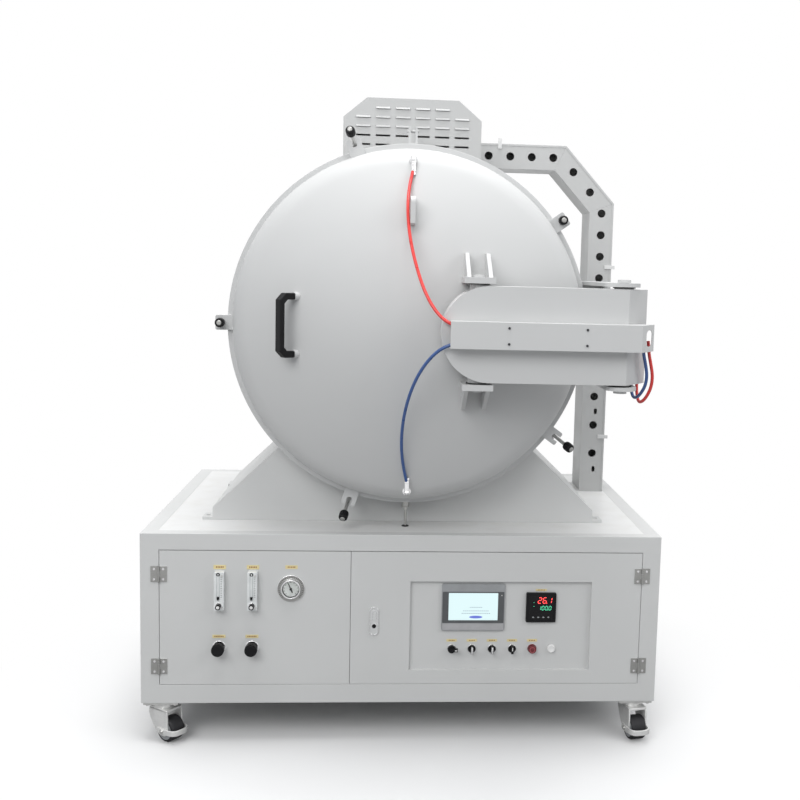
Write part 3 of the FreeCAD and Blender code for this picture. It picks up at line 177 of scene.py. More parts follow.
world = bpy.data.worlds.new("Surround")
bpy.context.scene.world = world
world.use_nodes = True
surround = world.node_tree
surround.nodes.clear()
rays = add_node(surround, "ShaderNodeLightPath").outputs
seen = add_node(surround, "ShaderNodeMath", {0: rays["Is Camera Ray"], 1: rays["Is Transmission Ray"]},
                operation="MAXIMUM")
shiny = add_node(surround, "ShaderNodeMath", {0: seen.outputs[0], 1: rays["Is Glossy Ray"]},
                 operation="MAXIMUM")
dim = add_node(surround, "ShaderNodeBackground", {"Color": (0.93, 0.96, 1.0, 1), "Strength": SURROUND_LIGHT})
white = add_node(surround, "ShaderNodeBackground", {"Color": (1, 1, 1, 1), "Strength": 1.0})
choose = add_node(surround, "ShaderNodeMixShader",
                  {"Fac": shiny.outputs[0], 1: dim.outputs[0], 2: white.outputs[0]})
add_node(surround, "ShaderNodeOutputWorld", {"Surface": choose.outputs[0]})
bpy.context.scene.view_settings.view_transform = "Standard"
print("3 lamps and a pale surround")

# %% Floor
FLOOR_SPAN = 2.6
FADE_START = 0.80
FADE_END = 1.55


def pale_floor():
    """A pale floor, plain white away from the furnace. It sends less light back up than it shows."""
    material = bpy.data.materials.new("Floor")
    material.use_nodes = True
    tree = material.node_tree
    shader = tree.nodes["Principled BSDF"]
    shader.inputs["Roughness"].default_value = 0.6
    to_camera = add_node(tree, "ShaderNodeLightPath").outputs["Is Camera Ray"]
    base = add_node(tree, "ShaderNodeMapRange", {"To Min": 0.36, "To Max": 0.82, "Value": to_camera})
    tree.links.new(base.outputs[0], shader.inputs["Base Color"])
    place = add_node(tree, "ShaderNodeTexCoord").outputs["Object"]
    distance = add_node(tree, "ShaderNodeVectorMath", {0: place}, operation="LENGTH")
    fade = add_node(tree, "ShaderNodeMapRange",
                    {"From Min": FADE_START, "From Max": FADE_END, "Value": distance.outputs["Value"]})
    share = add_node(tree, "ShaderNodeMath", {0: fade.outputs[0], 1: to_camera}, operation="MULTIPLY")
    glow = add_node(tree, "ShaderNodeEmission")
    mix = add_node(tree, "ShaderNodeMixShader",
                   {"Fac": share.outputs[0], 1: shader.outputs[0], 2: glow.outputs[0]})
    tree.links.new(mix.outputs[0], tree.nodes["Material Output"].inputs["Surface"])
    corners = [(x * FLOOR_SPAN, y * FLOOR_SPAN, 0) for x, y in ((-1, -1), (1, -1), (1, 1), (-1, 1))]
    mesh = bpy.data.meshes.new("Floor")
    mesh.from_pydata(corners, [], [(0, 1, 2, 3)])
    mesh.materials.append(material)
    floor = bpy.data.objects.new("Floor", mesh)
    bpy.context.scene.collection.objects.link(floor)


pale_floor()
print("floor")

# %% [markdown]
# ## Finishes
# Most of the furnace is powder-coated steel. Such a coat isn't smooth: it has a faint orange-peel ripple,
# a slight change of tone over a wide sheet, and it takes a little dust where it faces up. These effects
# are the same on every sheet, so each is built once as a shader group with named inputs, and each material
# places the group with its own values. The Principled shader stays in the material.

# %% Helpers for shader trees


def new_group(name, **inputs):
    """A shader group that gives a colour, a roughness and a height. Returns the tree and what comes in."""
    tree = bpy.data.node_groups.new(name, "ShaderNodeTree")
    for label, value in inputs.items():
        kind = "NodeSocketColor" if isinstance(value, tuple) else "NodeSocketFloat"
        socket = tree.interface.new_socket(name=label.replace("_", " "), in_out="INPUT", socket_type=kind)
        socket.default_value = value
    tree.interface.new_socket(name="Colour", in_out="OUTPUT", socket_type="NodeSocketColor")
    for label in ("Roughness", "Height"):
        tree.interface.new_socket(name=label, in_out="OUTPUT", socket_type="NodeSocketFloat")
    return tree, tree.nodes.new("NodeGroupInput").outputs


def end_group(tree, colour, roughness, height):
    """Sends the three results out of a group."""
    add_node(tree, "NodeGroupOutput", {"Colour": colour, "Roughness": roughness, "Height": height})
    return tree


def noise(tree, scale, detail=2.0, stretch=None):
    """A noise texture on Object coordinates. The scale is a number or a socket."""
    vector = add_node(tree, "ShaderNodeTexCoord").outputs["Object"]
    if stretch:
        vector = add_node(tree, "ShaderNodeMapping", {"Scale": stretch, "Vector": vector}).outputs["Vector"]
    wires = {"Detail": detail, "Vector": vector, "Scale": scale}
    return add_node(tree, "ShaderNodeTexNoise", wires).outputs["Fac"]


def ranged(tree, value, low, high, out_low, out_high):
    """Maps a value from one range to another."""
    wires = {"Value": value, "From Min": low, "From Max": high, "To Min": out_low, "To Max": out_high}
    return add_node(tree, "ShaderNodeMapRange", wires).outputs["Result"]


def maths(tree, operation, first, second):
    """One step of arithmetic on two numbers or sockets."""
    return add_node(tree, "ShaderNodeMath", {0: first, 1: second}, operation=operation).outputs[0]


def tinted(tree, colour, strength):
    """A colour made lighter or darker by a number round 1."""
    return add_node(tree, "ShaderNodeHueSaturation", {"Color": colour, "Value": strength}).outputs["Color"]


def mixed(tree, share, first, second):
    """Two colours mixed by a share. The second is a colour value or a socket."""
    wires = {"Factor": share, "A": first, "B": second}
    return add_node(tree, "ShaderNodeMix", wires, data_type="RGBA").outputs["Result"]


# %% Shader groups
DUST_COLOUR = (0.62, 0.60, 0.56, 1)


def powder_coat_group():
    """Orange peel, a slow change of tone, and dust on faces that look up."""
    tree, given = new_group("Powder coat", Colour=(0.8, 0.8, 0.8, 1), Tone_change=0.03, Gloss=0.35, Dust=0.1)
    tone = ranged(tree, noise(tree, 2.3, 3.0), 0.3, 0.7, -1.0, 1.0)
    strength = maths(tree, "ADD", maths(tree, "MULTIPLY", tone, given["Tone change"]), 1.0)
    body = tinted(tree, given["Colour"], strength)
    facing = add_node(tree, "ShaderNodeNewGeometry").outputs["Normal"]
    split = add_node(tree, "ShaderNodeSeparateXYZ", {0: facing})
    upward = ranged(tree, split.outputs["Z"], 0.6, 1.0, 0.0, 1.0)
    patches = ranged(tree, noise(tree, 14.0, 5.0), 0.45, 0.75, 0.0, 1.0)
    dust = maths(tree, "MULTIPLY", maths(tree, "MULTIPLY", upward, patches), given["Dust"])
    streaks = ranged(tree, noise(tree, 9.0, 4.0), 0.3, 0.7, -0.05, 0.07)
    streaked = maths(tree, "ADD", given["Gloss"], streaks)
    rough = maths(tree, "ADD", streaked, maths(tree, "MULTIPLY", dust, 0.4))
    peel = maths(tree, "ADD", noise(tree, 420.0, 1.0), maths(tree, "MULTIPLY", noise(tree, 60.0, 1.0), 0.6))
    return end_group(tree, mixed(tree, dust, body, DUST_COLOUR), rough, peel)


def brushed_group():
    """Fine lines along one direction, with worn and dull patches."""
    tree, given = new_group("Brushed metal", Colour=(0.7, 0.7, 0.7, 1), Gloss=0.3, Wear=0.2)
    lines = noise(tree, 60.0, 3.0, stretch=(1.0, 1.0, 14.0))
    patches = ranged(tree, noise(tree, 25.0, 4.0), 0.45, 0.7, 0.0, 1.0)
    worn = maths(tree, "MULTIPLY", patches, given["Wear"])
    lined = ranged(tree, lines, 0.3, 0.7, 0.94, 1.05)
    shade = maths(tree, "SUBTRACT", lined, maths(tree, "MULTIPLY", worn, 0.4))
    rough = maths(tree, "ADD", given["Gloss"], ranged(tree, lines, 0.3, 0.7, -0.06, 0.08))
    dull = maths(tree, "ADD", rough, maths(tree, "MULTIPLY", worn, 0.5))
    return end_group(tree, tinted(tree, given["Colour"], shade), dull, lines)


def moulded_group():
    """The fine spark-eroded grain of moulded plastic and rubber, with slight greasy patches."""
    tree, given = new_group("Moulded grain", Colour=(0.1, 0.1, 0.1, 1), Gloss=0.4, Grain=900.0)
    patches = noise(tree, 30.0, 3.0)
    colour = tinted(tree, given["Colour"], ranged(tree, patches, 0.3, 0.7, 0.93, 1.08))
    rough = maths(tree, "ADD", given["Gloss"], ranged(tree, patches, 0.3, 0.7, -0.06, 0.08))
    return end_group(tree, colour, rough, noise(tree, given["Grain"], 2.0))


def fibre_group():
    """Carbon felt: short matted fibres in many directions."""
    tree, given = new_group("Matted fibre", Colour=(0.05, 0.05, 0.055, 1), Length=1.0)
    across = noise(tree, 240.0, 4.0, stretch=(1.0, 0.25, 1.0))
    along = noise(tree, 240.0, 4.0, stretch=(0.25, 1.0, 0.6))
    matted = maths(tree, "MULTIPLY", maths(tree, "MAXIMUM", across, along), given["Length"])
    colour = tinted(tree, given["Colour"], ranged(tree, matted, 0.4, 0.8, 0.5, 1.7))
    return end_group(tree, colour, ranged(tree, matted, 0.4, 0.8, 0.75, 0.98), matted)


GROUPS = {"coat": powder_coat_group(), "metal": brushed_group(), "moulded": moulded_group(),
          "fibre": fibre_group()}
print("shader groups:", ", ".join(tree.name for tree in GROUPS.values()))

# %% [markdown]
# ## The materials
# Each material is one Principled shader with a group in front of it. The group gives what changes over
# the surface, and the shader's own sockets hold what is the same all over. The bump distances are real:
# a powder coat's ripple is a few hundredths of a millimetre high, a felt's fibres half a millimetre.

# %% Material builders


def plain(name, **levels):
    """A material with one shader and its values, with _ for a space in their names."""
    material = bpy.data.materials.new(name)
    material.use_nodes = True
    shader = material.node_tree.nodes["Principled BSDF"]
    for label, value in levels.items():
        shader.inputs[label.replace("_", " ")].default_value = value
    return material


def finish(name, kind, bump, metallic=0.0, coat=0.0, sheen=0.0, shine=0.5, **values):
    """A material with one of the groups. The values are the group's inputs, with _ for a space."""
    material = plain(name, Metallic=metallic, Coat_Weight=coat, Coat_Roughness=0.12, Sheen_Weight=sheen,
                     Specular_IOR_Level=shine)
    tree = material.node_tree
    shader = tree.nodes["Principled BSDF"]
    group = add_node(tree, "ShaderNodeGroup", node_tree=GROUPS[kind])
    for label, value in values.items():
        group.inputs[label.replace("_", " ")].default_value = value
    tree.links.new(group.outputs["Colour"], shader.inputs["Base Color"])
    tree.links.new(group.outputs["Roughness"], shader.inputs["Roughness"])
    relief = add_node(tree, "ShaderNodeBump",
                      {"Strength": 1.0, "Distance": mm(bump), "Height": group.outputs["Height"]})
    tree.links.new(relief.outputs["Normal"], shader.inputs["Normal"])
    return material


def coated(name, colour, gloss, dust=0.1, change=0.02, bump=0.02, **more):
    """Powder-coated steel."""
    return finish(name, "coat", bump, Colour=(*colour, 1), Tone_change=change, Gloss=gloss, Dust=dust,
                  **more)


def metal(name, colour, gloss, wear, bump=0.01, metallic=1.0):
    """Bare or plated metal."""
    return finish(name, "metal", bump, metallic=metallic, Colour=(*colour, 1), Gloss=gloss, Wear=wear)


def moulded(name, colour, gloss, bump=0.01, grain=900.0, **more):
    """Moulded plastic, rubber or print."""
    return finish(name, "moulded", bump, Colour=(*colour, 1), Gloss=gloss, Grain=grain, **more)


def glowing(name, colour, strength):
    """A lit display: dark plastic that gives off its own light."""
    return plain(name, Base_Color=(0.02, 0.02, 0.02, 1), Roughness=0.3, Emission_Color=(*colour, 1),
                 Emission_Strength=strength)


# %% Materials
CABINET = coated("Cabinet_coat", (0.600, 0.605, 0.600), 0.42)
TABLE_COAT = coated("Table_coat", (0.720, 0.722, 0.716), 0.40, dust=0.25, change=0.03)
VESSEL = coated("Vessel_coat", (0.570, 0.574, 0.572), 0.58, bump=0.03, shine=0.3)
ARM = coated("Arm_coat", (0.570, 0.574, 0.572), 0.38, dust=0.15)
DUCT = coated("Duct_coat", (0.520, 0.524, 0.520), 0.42)
WELD = coated("Painted_weld", (0.60, 0.604, 0.60), 0.4, dust=0.3, change=0.12, bump=0.05)
IRON = coated("Machine_coat", (0.10, 0.13, 0.17), 0.45, dust=0.4, change=0.1, bump=0.05)
STEEL = metal("Zinc_steel", (0.62, 0.62, 0.61), 0.30, 0.35, bump=0.02)
HINGE_STEEL = metal("Hinge_steel", (0.36, 0.36, 0.35), 0.34, 0.3, metallic=0.9)
SCREW = metal("Black_oxide_steel", (0.06, 0.06, 0.065), 0.4, 0.2, metallic=0.8)
CHROME = metal("Bright_chrome", (0.82, 0.82, 0.83), 0.14, 0.1, bump=0.004)
SATIN_STEEL = metal("Satin_steel", (0.66, 0.67, 0.67), 0.38, 0.1, metallic=0.6)
ZINC = metal("Zinc_white", (0.80, 0.80, 0.79), 0.34, 0.25, bump=0.02, metallic=0.55)
COPPER = metal("Copper", (0.78, 0.42, 0.27), 0.32, 0.5, bump=0.02)
BLACK = moulded("Black_plastic", (0.008, 0.008, 0.009), 0.42, bump=0.03, shine=0.16)
SATIN_GREY = moulded("Grey_plastic", (0.30, 0.31, 0.32), 0.45, bump=0.03)
DARK_GREY = moulded("Dark_grey_plastic", (0.085, 0.09, 0.095), 0.4, bump=0.02)
PALE_GREY = moulded("Pale_grey_plastic", (0.40, 0.40, 0.41), 0.42, bump=0.03)
WHITE = moulded("White_plastic", (0.78, 0.78, 0.77), 0.35, bump=0.02)
MAROON = moulded("Red_plastic", (0.16, 0.012, 0.018), 0.3, bump=0.02, coat=0.3)
YELLOW = moulded("Yellow_label", (0.72, 0.62, 0.33), 0.45, grain=500.0)
GLOSS_BLACK = moulded("Gloss_black", (0.006, 0.006, 0.007), 0.22, coat=0.1, shine=0.2)
STROKE = moulded("Label_print", (0.28, 0.10, 0.03), 0.5)
RED_MARK = moulded("Red_mark", (0.42, 0.10, 0.11), 0.35, bump=0.02)
FROSTED = moulded("Clear_block", (0.74, 0.76, 0.76), 0.16, grain=120.0, coat=0.7)
TUBE_SHADE = moulded("Tube_shade", (0.52, 0.55, 0.55), 0.18, grain=120.0, coat=0.6)
PRINT = moulded("Black_print", (0.02, 0.02, 0.02), 0.5, shine=0.2)
DIAL = moulded("Dial_face", (0.82, 0.82, 0.80), 0.5, bump=0.005, grain=700.0)
RED_HOSE = moulded("Red_hose", (0.72, 0.035, 0.03), 0.32, grain=300.0, coat=0.2)
BLUE_HOSE = moulded("Blue_hose", (0.035, 0.09, 0.27), 0.32, grain=300.0, coat=0.2)
RUBBER = moulded("Seal_rubber", (0.02, 0.02, 0.021), 0.6, bump=0.04, grain=500.0)
TREAD = moulded("Wheel_tread", (0.022, 0.022, 0.024), 0.55, bump=0.05, grain=350.0, shine=0.25)
GRAPHITE = moulded("Graphite", (0.055, 0.056, 0.06), 0.48, bump=0.06, grain=220.0)
FELT = finish("Carbon_felt", "fibre", 0.5, sheen=0.3, Colour=(0.035, 0.035, 0.038, 1), Length=1.0)
ACRYLIC = plain("Clear_acrylic", Base_Color=(0.97, 0.99, 0.99, 1), Roughness=0.04, Transmission_Weight=1.0,
                IOR=1.49)
LIT_SCREEN = glowing("Lit_screen", (0.78, 0.98, 1.0), 0.95)
LIT_BLUE = glowing("Lit_blue", (0.16, 0.22, 0.85), 0.8)
LIT_TEXT = glowing("Lit_text", (0.42, 0.55, 0.66), 0.7)
RED_DIGITS = glowing("Red_digits", (1.0, 0.06, 0.06), 2.2)
GREEN_DIGITS = glowing("Green_digits", (0.10, 0.85, 0.45), 1.3)
print(len(bpy.data.materials), "materials")

# %% [markdown]
# ## Building helpers
# A CAD solid has perfectly sharp edges, which real folded and welded steel never has, and a sharp edge
# catches no light. So most rigid nodes are copied, their loose triangles are merged back into faces, and
# a small Bevel is left on the copy. The copy stands for the node, in the same place. Turned pieces such as
# the dished door are made again from their profile, with enough steps to look round.

# %% Pieces and their edges
CREASE = 32
WELD_DISTANCE = 4e-6


def add_piece(name, mesh, body, slot, material, smooth=40):
    """Puts a finished mesh in the scene, on its body if one is given."""
    mesh.materials.clear()
    mesh.materials.append(material)
    mesh.shade_smooth()
    mesh.set_sharp_from_angle(angle=math.radians(smooth))
    piece = bpy.data.objects.new(name, mesh)
    bpy.context.scene.collection.objects.link(piece)
    if body:
        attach(piece, body)
    return piece


def mesh_from(name, bm):
    """A mesh from bmesh, with doubles merged and faces pointing out."""
    bmesh.ops.remove_doubles(bm, verts=bm.verts, dist=1e-6)
    bmesh.ops.recalc_face_normals(bm, faces=bm.faces)
    mesh = bpy.data.meshes.new(name)
    bm.to_mesh(mesh)
    bm.free()
    return mesh


def merged_mesh(node, name):
    """A CAD node's triangles merged into whole faces."""
    mesh = NODES[node].data.copy()
    mesh.name = name
    bm = bmesh.new()
    bm.from_mesh(mesh)
    bmesh.ops.remove_doubles(bm, verts=bm.verts, dist=WELD_DISTANCE)
    bmesh.ops.dissolve_degenerate(bm, dist=1e-6, edges=bm.edges)
    bmesh.ops.dissolve_limit(bm, angle_limit=math.radians(0.5), verts=bm.verts, edges=bm.edges)
    bm.to_mesh(mesh)
    bm.free()
    if "custom_normal" in mesh.attributes:
        mesh.attributes.remove(mesh.attributes["custom_normal"])
    return mesh


def edged(piece, radius, segments=2, angle=35):
    """A small live bevel on a piece's edges."""
    bevel = piece.modifiers.new("Edge", "BEVEL")
    bevel.width = mm(radius)
    bevel.segments = segments
    bevel.limit_method = "ANGLE"
    bevel.angle_limit = math.radians(angle)
    bevel.harden_normals = True
    return piece


def rounded_node(node, radius, material, slot):
    """A copy of a node with rounded edges, which stands for it."""
    name = node + "_rounded"
    piece = add_piece(name, merged_mesh(node, name), NODES[node]["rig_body"], slot, material, CREASE)
    edged(piece, radius, angle=CREASE)
    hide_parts(node)


# %% Outlines
GUARD = 0.4


def arc(centre, radius, start, end, steps):
    """Points of an arc in the (radius, distance) plane, angles in degrees."""
    angles = [math.radians(start + (end - start) * i / steps) for i in range(steps + 1)]
    return [(centre[0] + radius * math.cos(a), centre[1] + radius * math.sin(a)) for a in angles]


def circle(steps):
    """The angles of a full circle in equal steps."""
    return [2 * math.pi * i / steps for i in range(steps)]


def guard_point(corner, neighbour, radius):
    """A point just past a rounded corner, which keeps the flat beside it flat in the shading."""
    edge = neighbour - corner
    extra = min(GUARD, (edge.length - 2 * radius) / 3)
    return [tuple(corner + edge.normalized() * (radius + extra))] if extra > 0.05 else []


def rounded_corner(corner, before, after, radius, steps=3):
    """A corner of an outline, rounded off between its two neighbours."""
    corner, before, after = Vector(corner), Vector(before), Vector(after)
    first = corner + (before - corner).normalized() * radius
    last = corner + (after - corner).normalized() * radius
    points = []
    for i in range(steps + 1):
        t = i / steps
        points.append(tuple(first * (1 - t) ** 2 + corner * 2 * t * (1 - t) + last * t ** 2))
    return guard_point(corner, before, radius) + points + guard_point(corner, after, radius)


def softened(outline, radius, sharp=()):
    """An outline with each corner rounded, except those listed."""
    points = []
    for i, corner in enumerate(outline):
        if i in sharp:
            points.append(corner)
            continue
        points += rounded_corner(corner, outline[i - 1], outline[(i + 1) % len(outline)], radius)
    return points


def plate_outline(width, height, radius, steps=6):
    """A rectangle with round corners about the origin, in millimetres."""
    points = []
    for sx, sy, start in ((1, 1, 0), (-1, 1, 90), (-1, -1, 180), (1, -1, 270)):
        centre = (sx * (width / 2 - radius), sy * (height / 2 - radius))
        points += arc(centre, radius, start, start + 90, steps)
    return points


def shifted(outline, x, z):
    """An outline moved in its own plane."""
    return [(px + x, pz + z) for px, pz in outline]


# %% Solids from outlines


def lathe(name, outline, place, steps, turn=None):
    """Turns a closed outline of (radius, distance along Y), in millimetres, about a line along Y."""
    bm = bmesh.new()
    rings = []
    for radius, y in outline:
        if radius < 1e-6:
            rings.append([bm.verts.new(mm(0, y, 0))])
            continue
        ring = [mm(radius * math.cos(a), y, radius * math.sin(a)) for a in circle(steps)]
        rings.append([bm.verts.new(point) for point in ring])
    for first, second in zip(rings, rings[1:] + rings[:1]):
        if len(first) == 1 and len(second) == 1:
            continue
        for i in range(steps):
            j = (i + 1) % steps
            corners = [first[i % len(first)], first[j % len(first)], second[j % len(second)],
                       second[i % len(second)]]
            bm.faces.new(list(dict.fromkeys(corners)))
    if turn:
        bmesh.ops.transform(bm, matrix=turn, verts=bm.verts)
    bmesh.ops.translate(bm, verts=bm.verts, vec=place)
    return mesh_from(name, bm)


def turned(name, outline, place, steps, body, slot, material, turn=None, smooth=40):
    """A turned piece on its body. Its line runs along Y, unless a turn is given."""
    return add_piece(name, lathe(name, outline, place, steps, turn), body, slot, material, smooth)


def slab(bm, low, high, matrix=None):
    """A box between two corners, in metres, added to a bmesh."""
    made = bmesh.ops.create_cube(bm, size=1.0)["verts"]
    bmesh.ops.scale(bm, vec=high - low, verts=made)
    bmesh.ops.translate(bm, vec=(low + high) / 2, verts=made)
    if matrix:
        bmesh.ops.transform(bm, matrix=matrix, verts=made)


def prism(bm, first, last):
    """A solid between two outlines with the same number of points."""
    back = [bm.verts.new(point) for point in first]
    face = [bm.verts.new(point) for point in last]
    bm.faces.new(back)
    bm.faces.new(list(reversed(face)))
    count = len(back)
    for i in range(count):
        bm.faces.new([back[i], face[i], face[(i + 1) % count], back[(i + 1) % count]])


def band(bm, rings, closed=True):
    """Faces from each ring of points to the next, and from the last ring back to the first."""
    for first, second in zip(rings, rings[1:] + rings[:1]):
        for i in range(len(first) if closed else len(first) - 1):
            j = (i + 1) % len(first)
            bm.faces.new([first[i], first[j], second[j], second[i]])


def plate_piece(name, outline, place, depth, body, slot, material, soft=0.0):
    """A flat plate from a point on its back face towards the viewer, with a soft edge where one is given."""
    bm = bmesh.new()
    prism(bm, [place + mm(x, 0, z) for x, z in outline], [place + mm(x, -depth, z) for x, z in outline])
    piece = add_piece(name, mesh_from(name, bm), body, slot, material)
    return edged(piece, soft) if soft else piece


def frame_piece(name, outer, inner, place, depth, body, slot, material, soft):
    """A flat frame between two outlines that have the same number of points."""
    bm = bmesh.new()
    levels = ((outer, 0), (outer, -depth), (inner, -depth), (inner, 0))
    band(bm, [[bm.verts.new(place + mm(x, y, z)) for x, z in outline] for outline, y in levels])
    return edged(add_piece(name, mesh_from(name, bm), body, slot, material), soft)


# %% [markdown]
# ## Trees for what repeats
# Bolts round a flange, marks on a scale, screws in a row and the ripples of a weld all repeat along a ring,
# a line or a seam. Geometry Nodes make them: one tree for each kind of run, with its sizes as named
# inputs. The result is realized, turned to a plain mesh and then handled like any other piece.

# %% Geometry Nodes helpers


def new_tree(name, **inputs):
    """A geometry tree with its own inputs, a mesh, a tilt, a centre and a material. Returns both."""
    tree = bpy.data.node_groups.new(name, "GeometryNodeTree")
    tree.is_modifier = True
    tree.interface.new_socket(name="Geometry", in_out="INPUT", socket_type="NodeSocketGeometry")
    for label, kind in {**inputs, "Tilt": "Vector", "Centre": "Vector", "Material": "Material"}.items():
        tree.interface.new_socket(name=label.replace("_", " "), in_out="INPUT",
                                  socket_type="NodeSocket" + kind)
    tree.interface.new_socket(name="Geometry", in_out="OUTPUT", socket_type="NodeSocketGeometry")
    return tree, tree.nodes.new("NodeGroupInput").outputs


def end_tree(tree, given, points, part, **more):
    """Puts a part on each point, makes the copies real and gives them their material."""
    place = add_node(tree, "GeometryNodeInstanceOnPoints", {"Points": points, "Instance": part, **more})
    real = add_node(tree, "GeometryNodeRealizeInstances", {0: place.outputs[0]})
    move = add_node(tree, "GeometryNodeTransform",
                    {"Geometry": real.outputs[0], "Rotation": given["Tilt"], "Translation": given["Centre"]})
    coat = add_node(tree, "GeometryNodeSetMaterial",
                    {"Geometry": move.outputs[0], "Material": given["Material"]})
    add_node(tree, "NodeGroupOutput", {0: coat.outputs[0]})
    return tree


def ring_of_bolts_tree():
    """Hexagon or round heads round a ring that lies in its own X and Y."""
    tree, given = new_tree("Ring of bolts", Count="Int", Ring_radius="Float", Head_radius="Float",
                           Head_height="Float", Sides="Int")
    ring = add_node(tree, "GeometryNodeMeshCircle",
                    {"Vertices": given["Count"], "Radius": given["Ring radius"]})
    head = add_node(tree, "GeometryNodeMeshCylinder",
                    {"Vertices": given["Sides"], "Radius": given["Head radius"],
                     "Depth": given["Head height"]})
    return end_tree(tree, given, ring.outputs[0], head.outputs["Mesh"])


def row_of_parts_tree():
    """Small blocks or discs along a straight line."""
    tree, given = new_tree("Row of parts", Count="Int", Step="Vector", Size="Vector", Sides="Int",
                           Unit_radius="Float")
    line = add_node(tree, "GeometryNodeMeshLine", {"Count": given["Count"], "Offset": given["Step"]})
    part = add_node(tree, "GeometryNodeMeshCylinder",
                    {"Depth": 1.0, "Radius": given["Unit radius"], "Vertices": given["Sides"]})
    square = add_node(tree, "GeometryNodeTransform",
                      {"Rotation": (0, 0, math.pi / 4), "Geometry": part.outputs["Mesh"]})
    return end_tree(tree, given, line.outputs[0], square.outputs[0], Scale=given["Size"])


def marks_on_arc_tree():
    """Small blocks on an arc, each turned to point at its centre."""
    tree, given = new_tree("Marks on an arc", Count="Int", Arc_radius="Float", Start="Float", Sweep="Float",
                           Size="Vector")
    line = add_node(tree, "GeometryNodeCurveArc",
                    {"Resolution": given["Count"], "Radius": given["Arc radius"],
                     "Start Angle": given["Start"], "Sweep Angle": given["Sweep"]})
    where = add_node(tree, "GeometryNodeInputPosition")
    aim = add_node(tree, "FunctionNodeAlignRotationToVector", {"Vector": where.outputs[0]}, axis="X")
    block = add_node(tree, "GeometryNodeMeshCube", {"Size": given["Size"]})
    return end_tree(tree, given, line.outputs["Curve"], block.outputs["Mesh"], Rotation=aim.outputs[0])


def weld_tree():
    """Overlapping ripples along a seam, slightly uneven, as a welder lays them."""
    tree, given = new_tree("Weld bead", Spacing="Float", Bead="Vector", Uneven="Float", Seed="Int")
    line = add_node(tree, "GeometryNodeMeshToCurve", {"Mesh": given["Geometry"]})
    steps = add_node(tree, "GeometryNodeResampleCurve",
                     {"Curve": line.outputs[0], "Length": given["Spacing"]}, mode="LENGTH")
    along = add_node(tree, "GeometryNodeInputTangent")
    aim = add_node(tree, "FunctionNodeAlignRotationToVector", {"Vector": along.outputs[0]}, axis="X")
    ripple = add_node(tree, "GeometryNodeMeshIcoSphere", {"Radius": 1.0, "Subdivisions": 2})
    shape = add_node(tree, "GeometryNodeTransform",
                     {"Geometry": ripple.outputs["Mesh"], "Scale": given["Bead"]})
    chance = add_node(tree, "FunctionNodeRandomValue", {"Seed": given["Seed"]}, data_type="FLOAT")
    floats = [socket for socket in chance.inputs if socket.type == "VALUE"]
    floats[0].default_value = 0.0
    floats[1].default_value = 1.0
    values = [socket for socket in chance.outputs if socket.type == "VALUE"]
    size = maths(tree, "SUBTRACT", 1.0, maths(tree, "MULTIPLY", values[0], given["Uneven"]))
    return end_tree(tree, given, steps.outputs[0], shape.outputs[0], Rotation=aim.outputs[0], Scale=size)


TREES = {"bolts": ring_of_bolts_tree(), "row": row_of_parts_tree(), "marks": marks_on_arc_tree(),
         "weld": weld_tree()}
FACE_VIEWER = (math.pi / 2, 0, 0)


def grown(name, tree, body, slot, material, path=None, smooth=40, **values):
    """Runs a tree with its inputs set, and keeps the result as a plain mesh on a body."""
    carrier = bpy.data.objects.new(name + "_run", path or bpy.data.meshes.new(name + "_run"))
    bpy.context.scene.collection.objects.link(carrier)
    modifier = carrier.modifiers.new("Run", "NODES")
    modifier.node_group = TREES[tree]
    items = TREES[tree].interface.items_tree
    sockets = {item.name: item.identifier for item in items if item.in_out == "INPUT"}
    values.setdefault("Tilt", (0, 0, 0))
    values.setdefault("Centre", (0, 0, 0))
    for label, value in values.items():
        socket = sockets[label.replace("_", " ")]
        modifier[socket] = list(value) if isinstance(value, (tuple, Vector)) else value
    modifier[sockets["Material"]] = material
    evaluated = carrier.evaluated_get(bpy.context.evaluated_depsgraph_get())
    mesh = bpy.data.meshes.new_from_object(evaluated)
    mesh.name = name
    carrier.modifiers.remove(modifier)
    bpy.data.objects.remove(carrier)
    return add_piece(name, mesh, body, slot, material, smooth)


def row(name, body, slot, material, count, step, size, sides, centre, tilt=FACE_VIEWER):
    """Small blocks, where the sides are 4, or discs in a row. The step and size are in millimetres."""
    grown(name, "row", body, slot, material, Count=count, Step=mm(*step), Size=mm(*size), Sides=sides,
          Unit_radius=math.sqrt(0.5) if sides == 4 else 0.5, Tilt=tilt, Centre=centre)


def ring_seam(radius, y, steps=720):
    """A circle round the vessel's centre line, as an edge path for the weld tree."""
    points = [tuple(on_axis(radius * math.cos(a), y, radius * math.sin(a))) for a in circle(steps)]
    mesh = bpy.data.meshes.new("seam")
    mesh.from_pydata(points, [(i, (i + 1) % steps) for i in range(steps)], [])
    return mesh


print("geometry trees:", ", ".join(tree.name for tree in TREES.values()))

# %% [markdown]
# ## The vessel and its dished door
# A vacuum presses on the door with several tonnes, so it is a dished head: a shallow crown that turns into
# a tight knuckle at the rim, welded to a flat ring. The head is turned from that profile in small steps,
# because a CAD facet would show as a band in the soft light. The jacket's shell is turned the same way.

# %% Dished heads
# Each head has a radius, its crown's and its knuckle's radius, the place along Y where its straight wall
# ends, and the side that it bulges to: -1 is towards the viewer.
DOOR_HEAD = (566, 1000, 120, 63, -1)
LINER_HEAD = (479.7, 900, 80, 63, -1)
VESSEL_HEAD = (545, 1090, 55, 860, 1)
INNER_HEAD = (505, 1050, 50, 830, 1)
VESSEL_WALL = 8
INNER_WALL = 6
PORT_HOLE = 79
STUD_X = 220
RIM_FRONT, RIM_BACK = 75, 115
FLANGE_FRONT, FLANGE_BACK = 115.5, 155.5


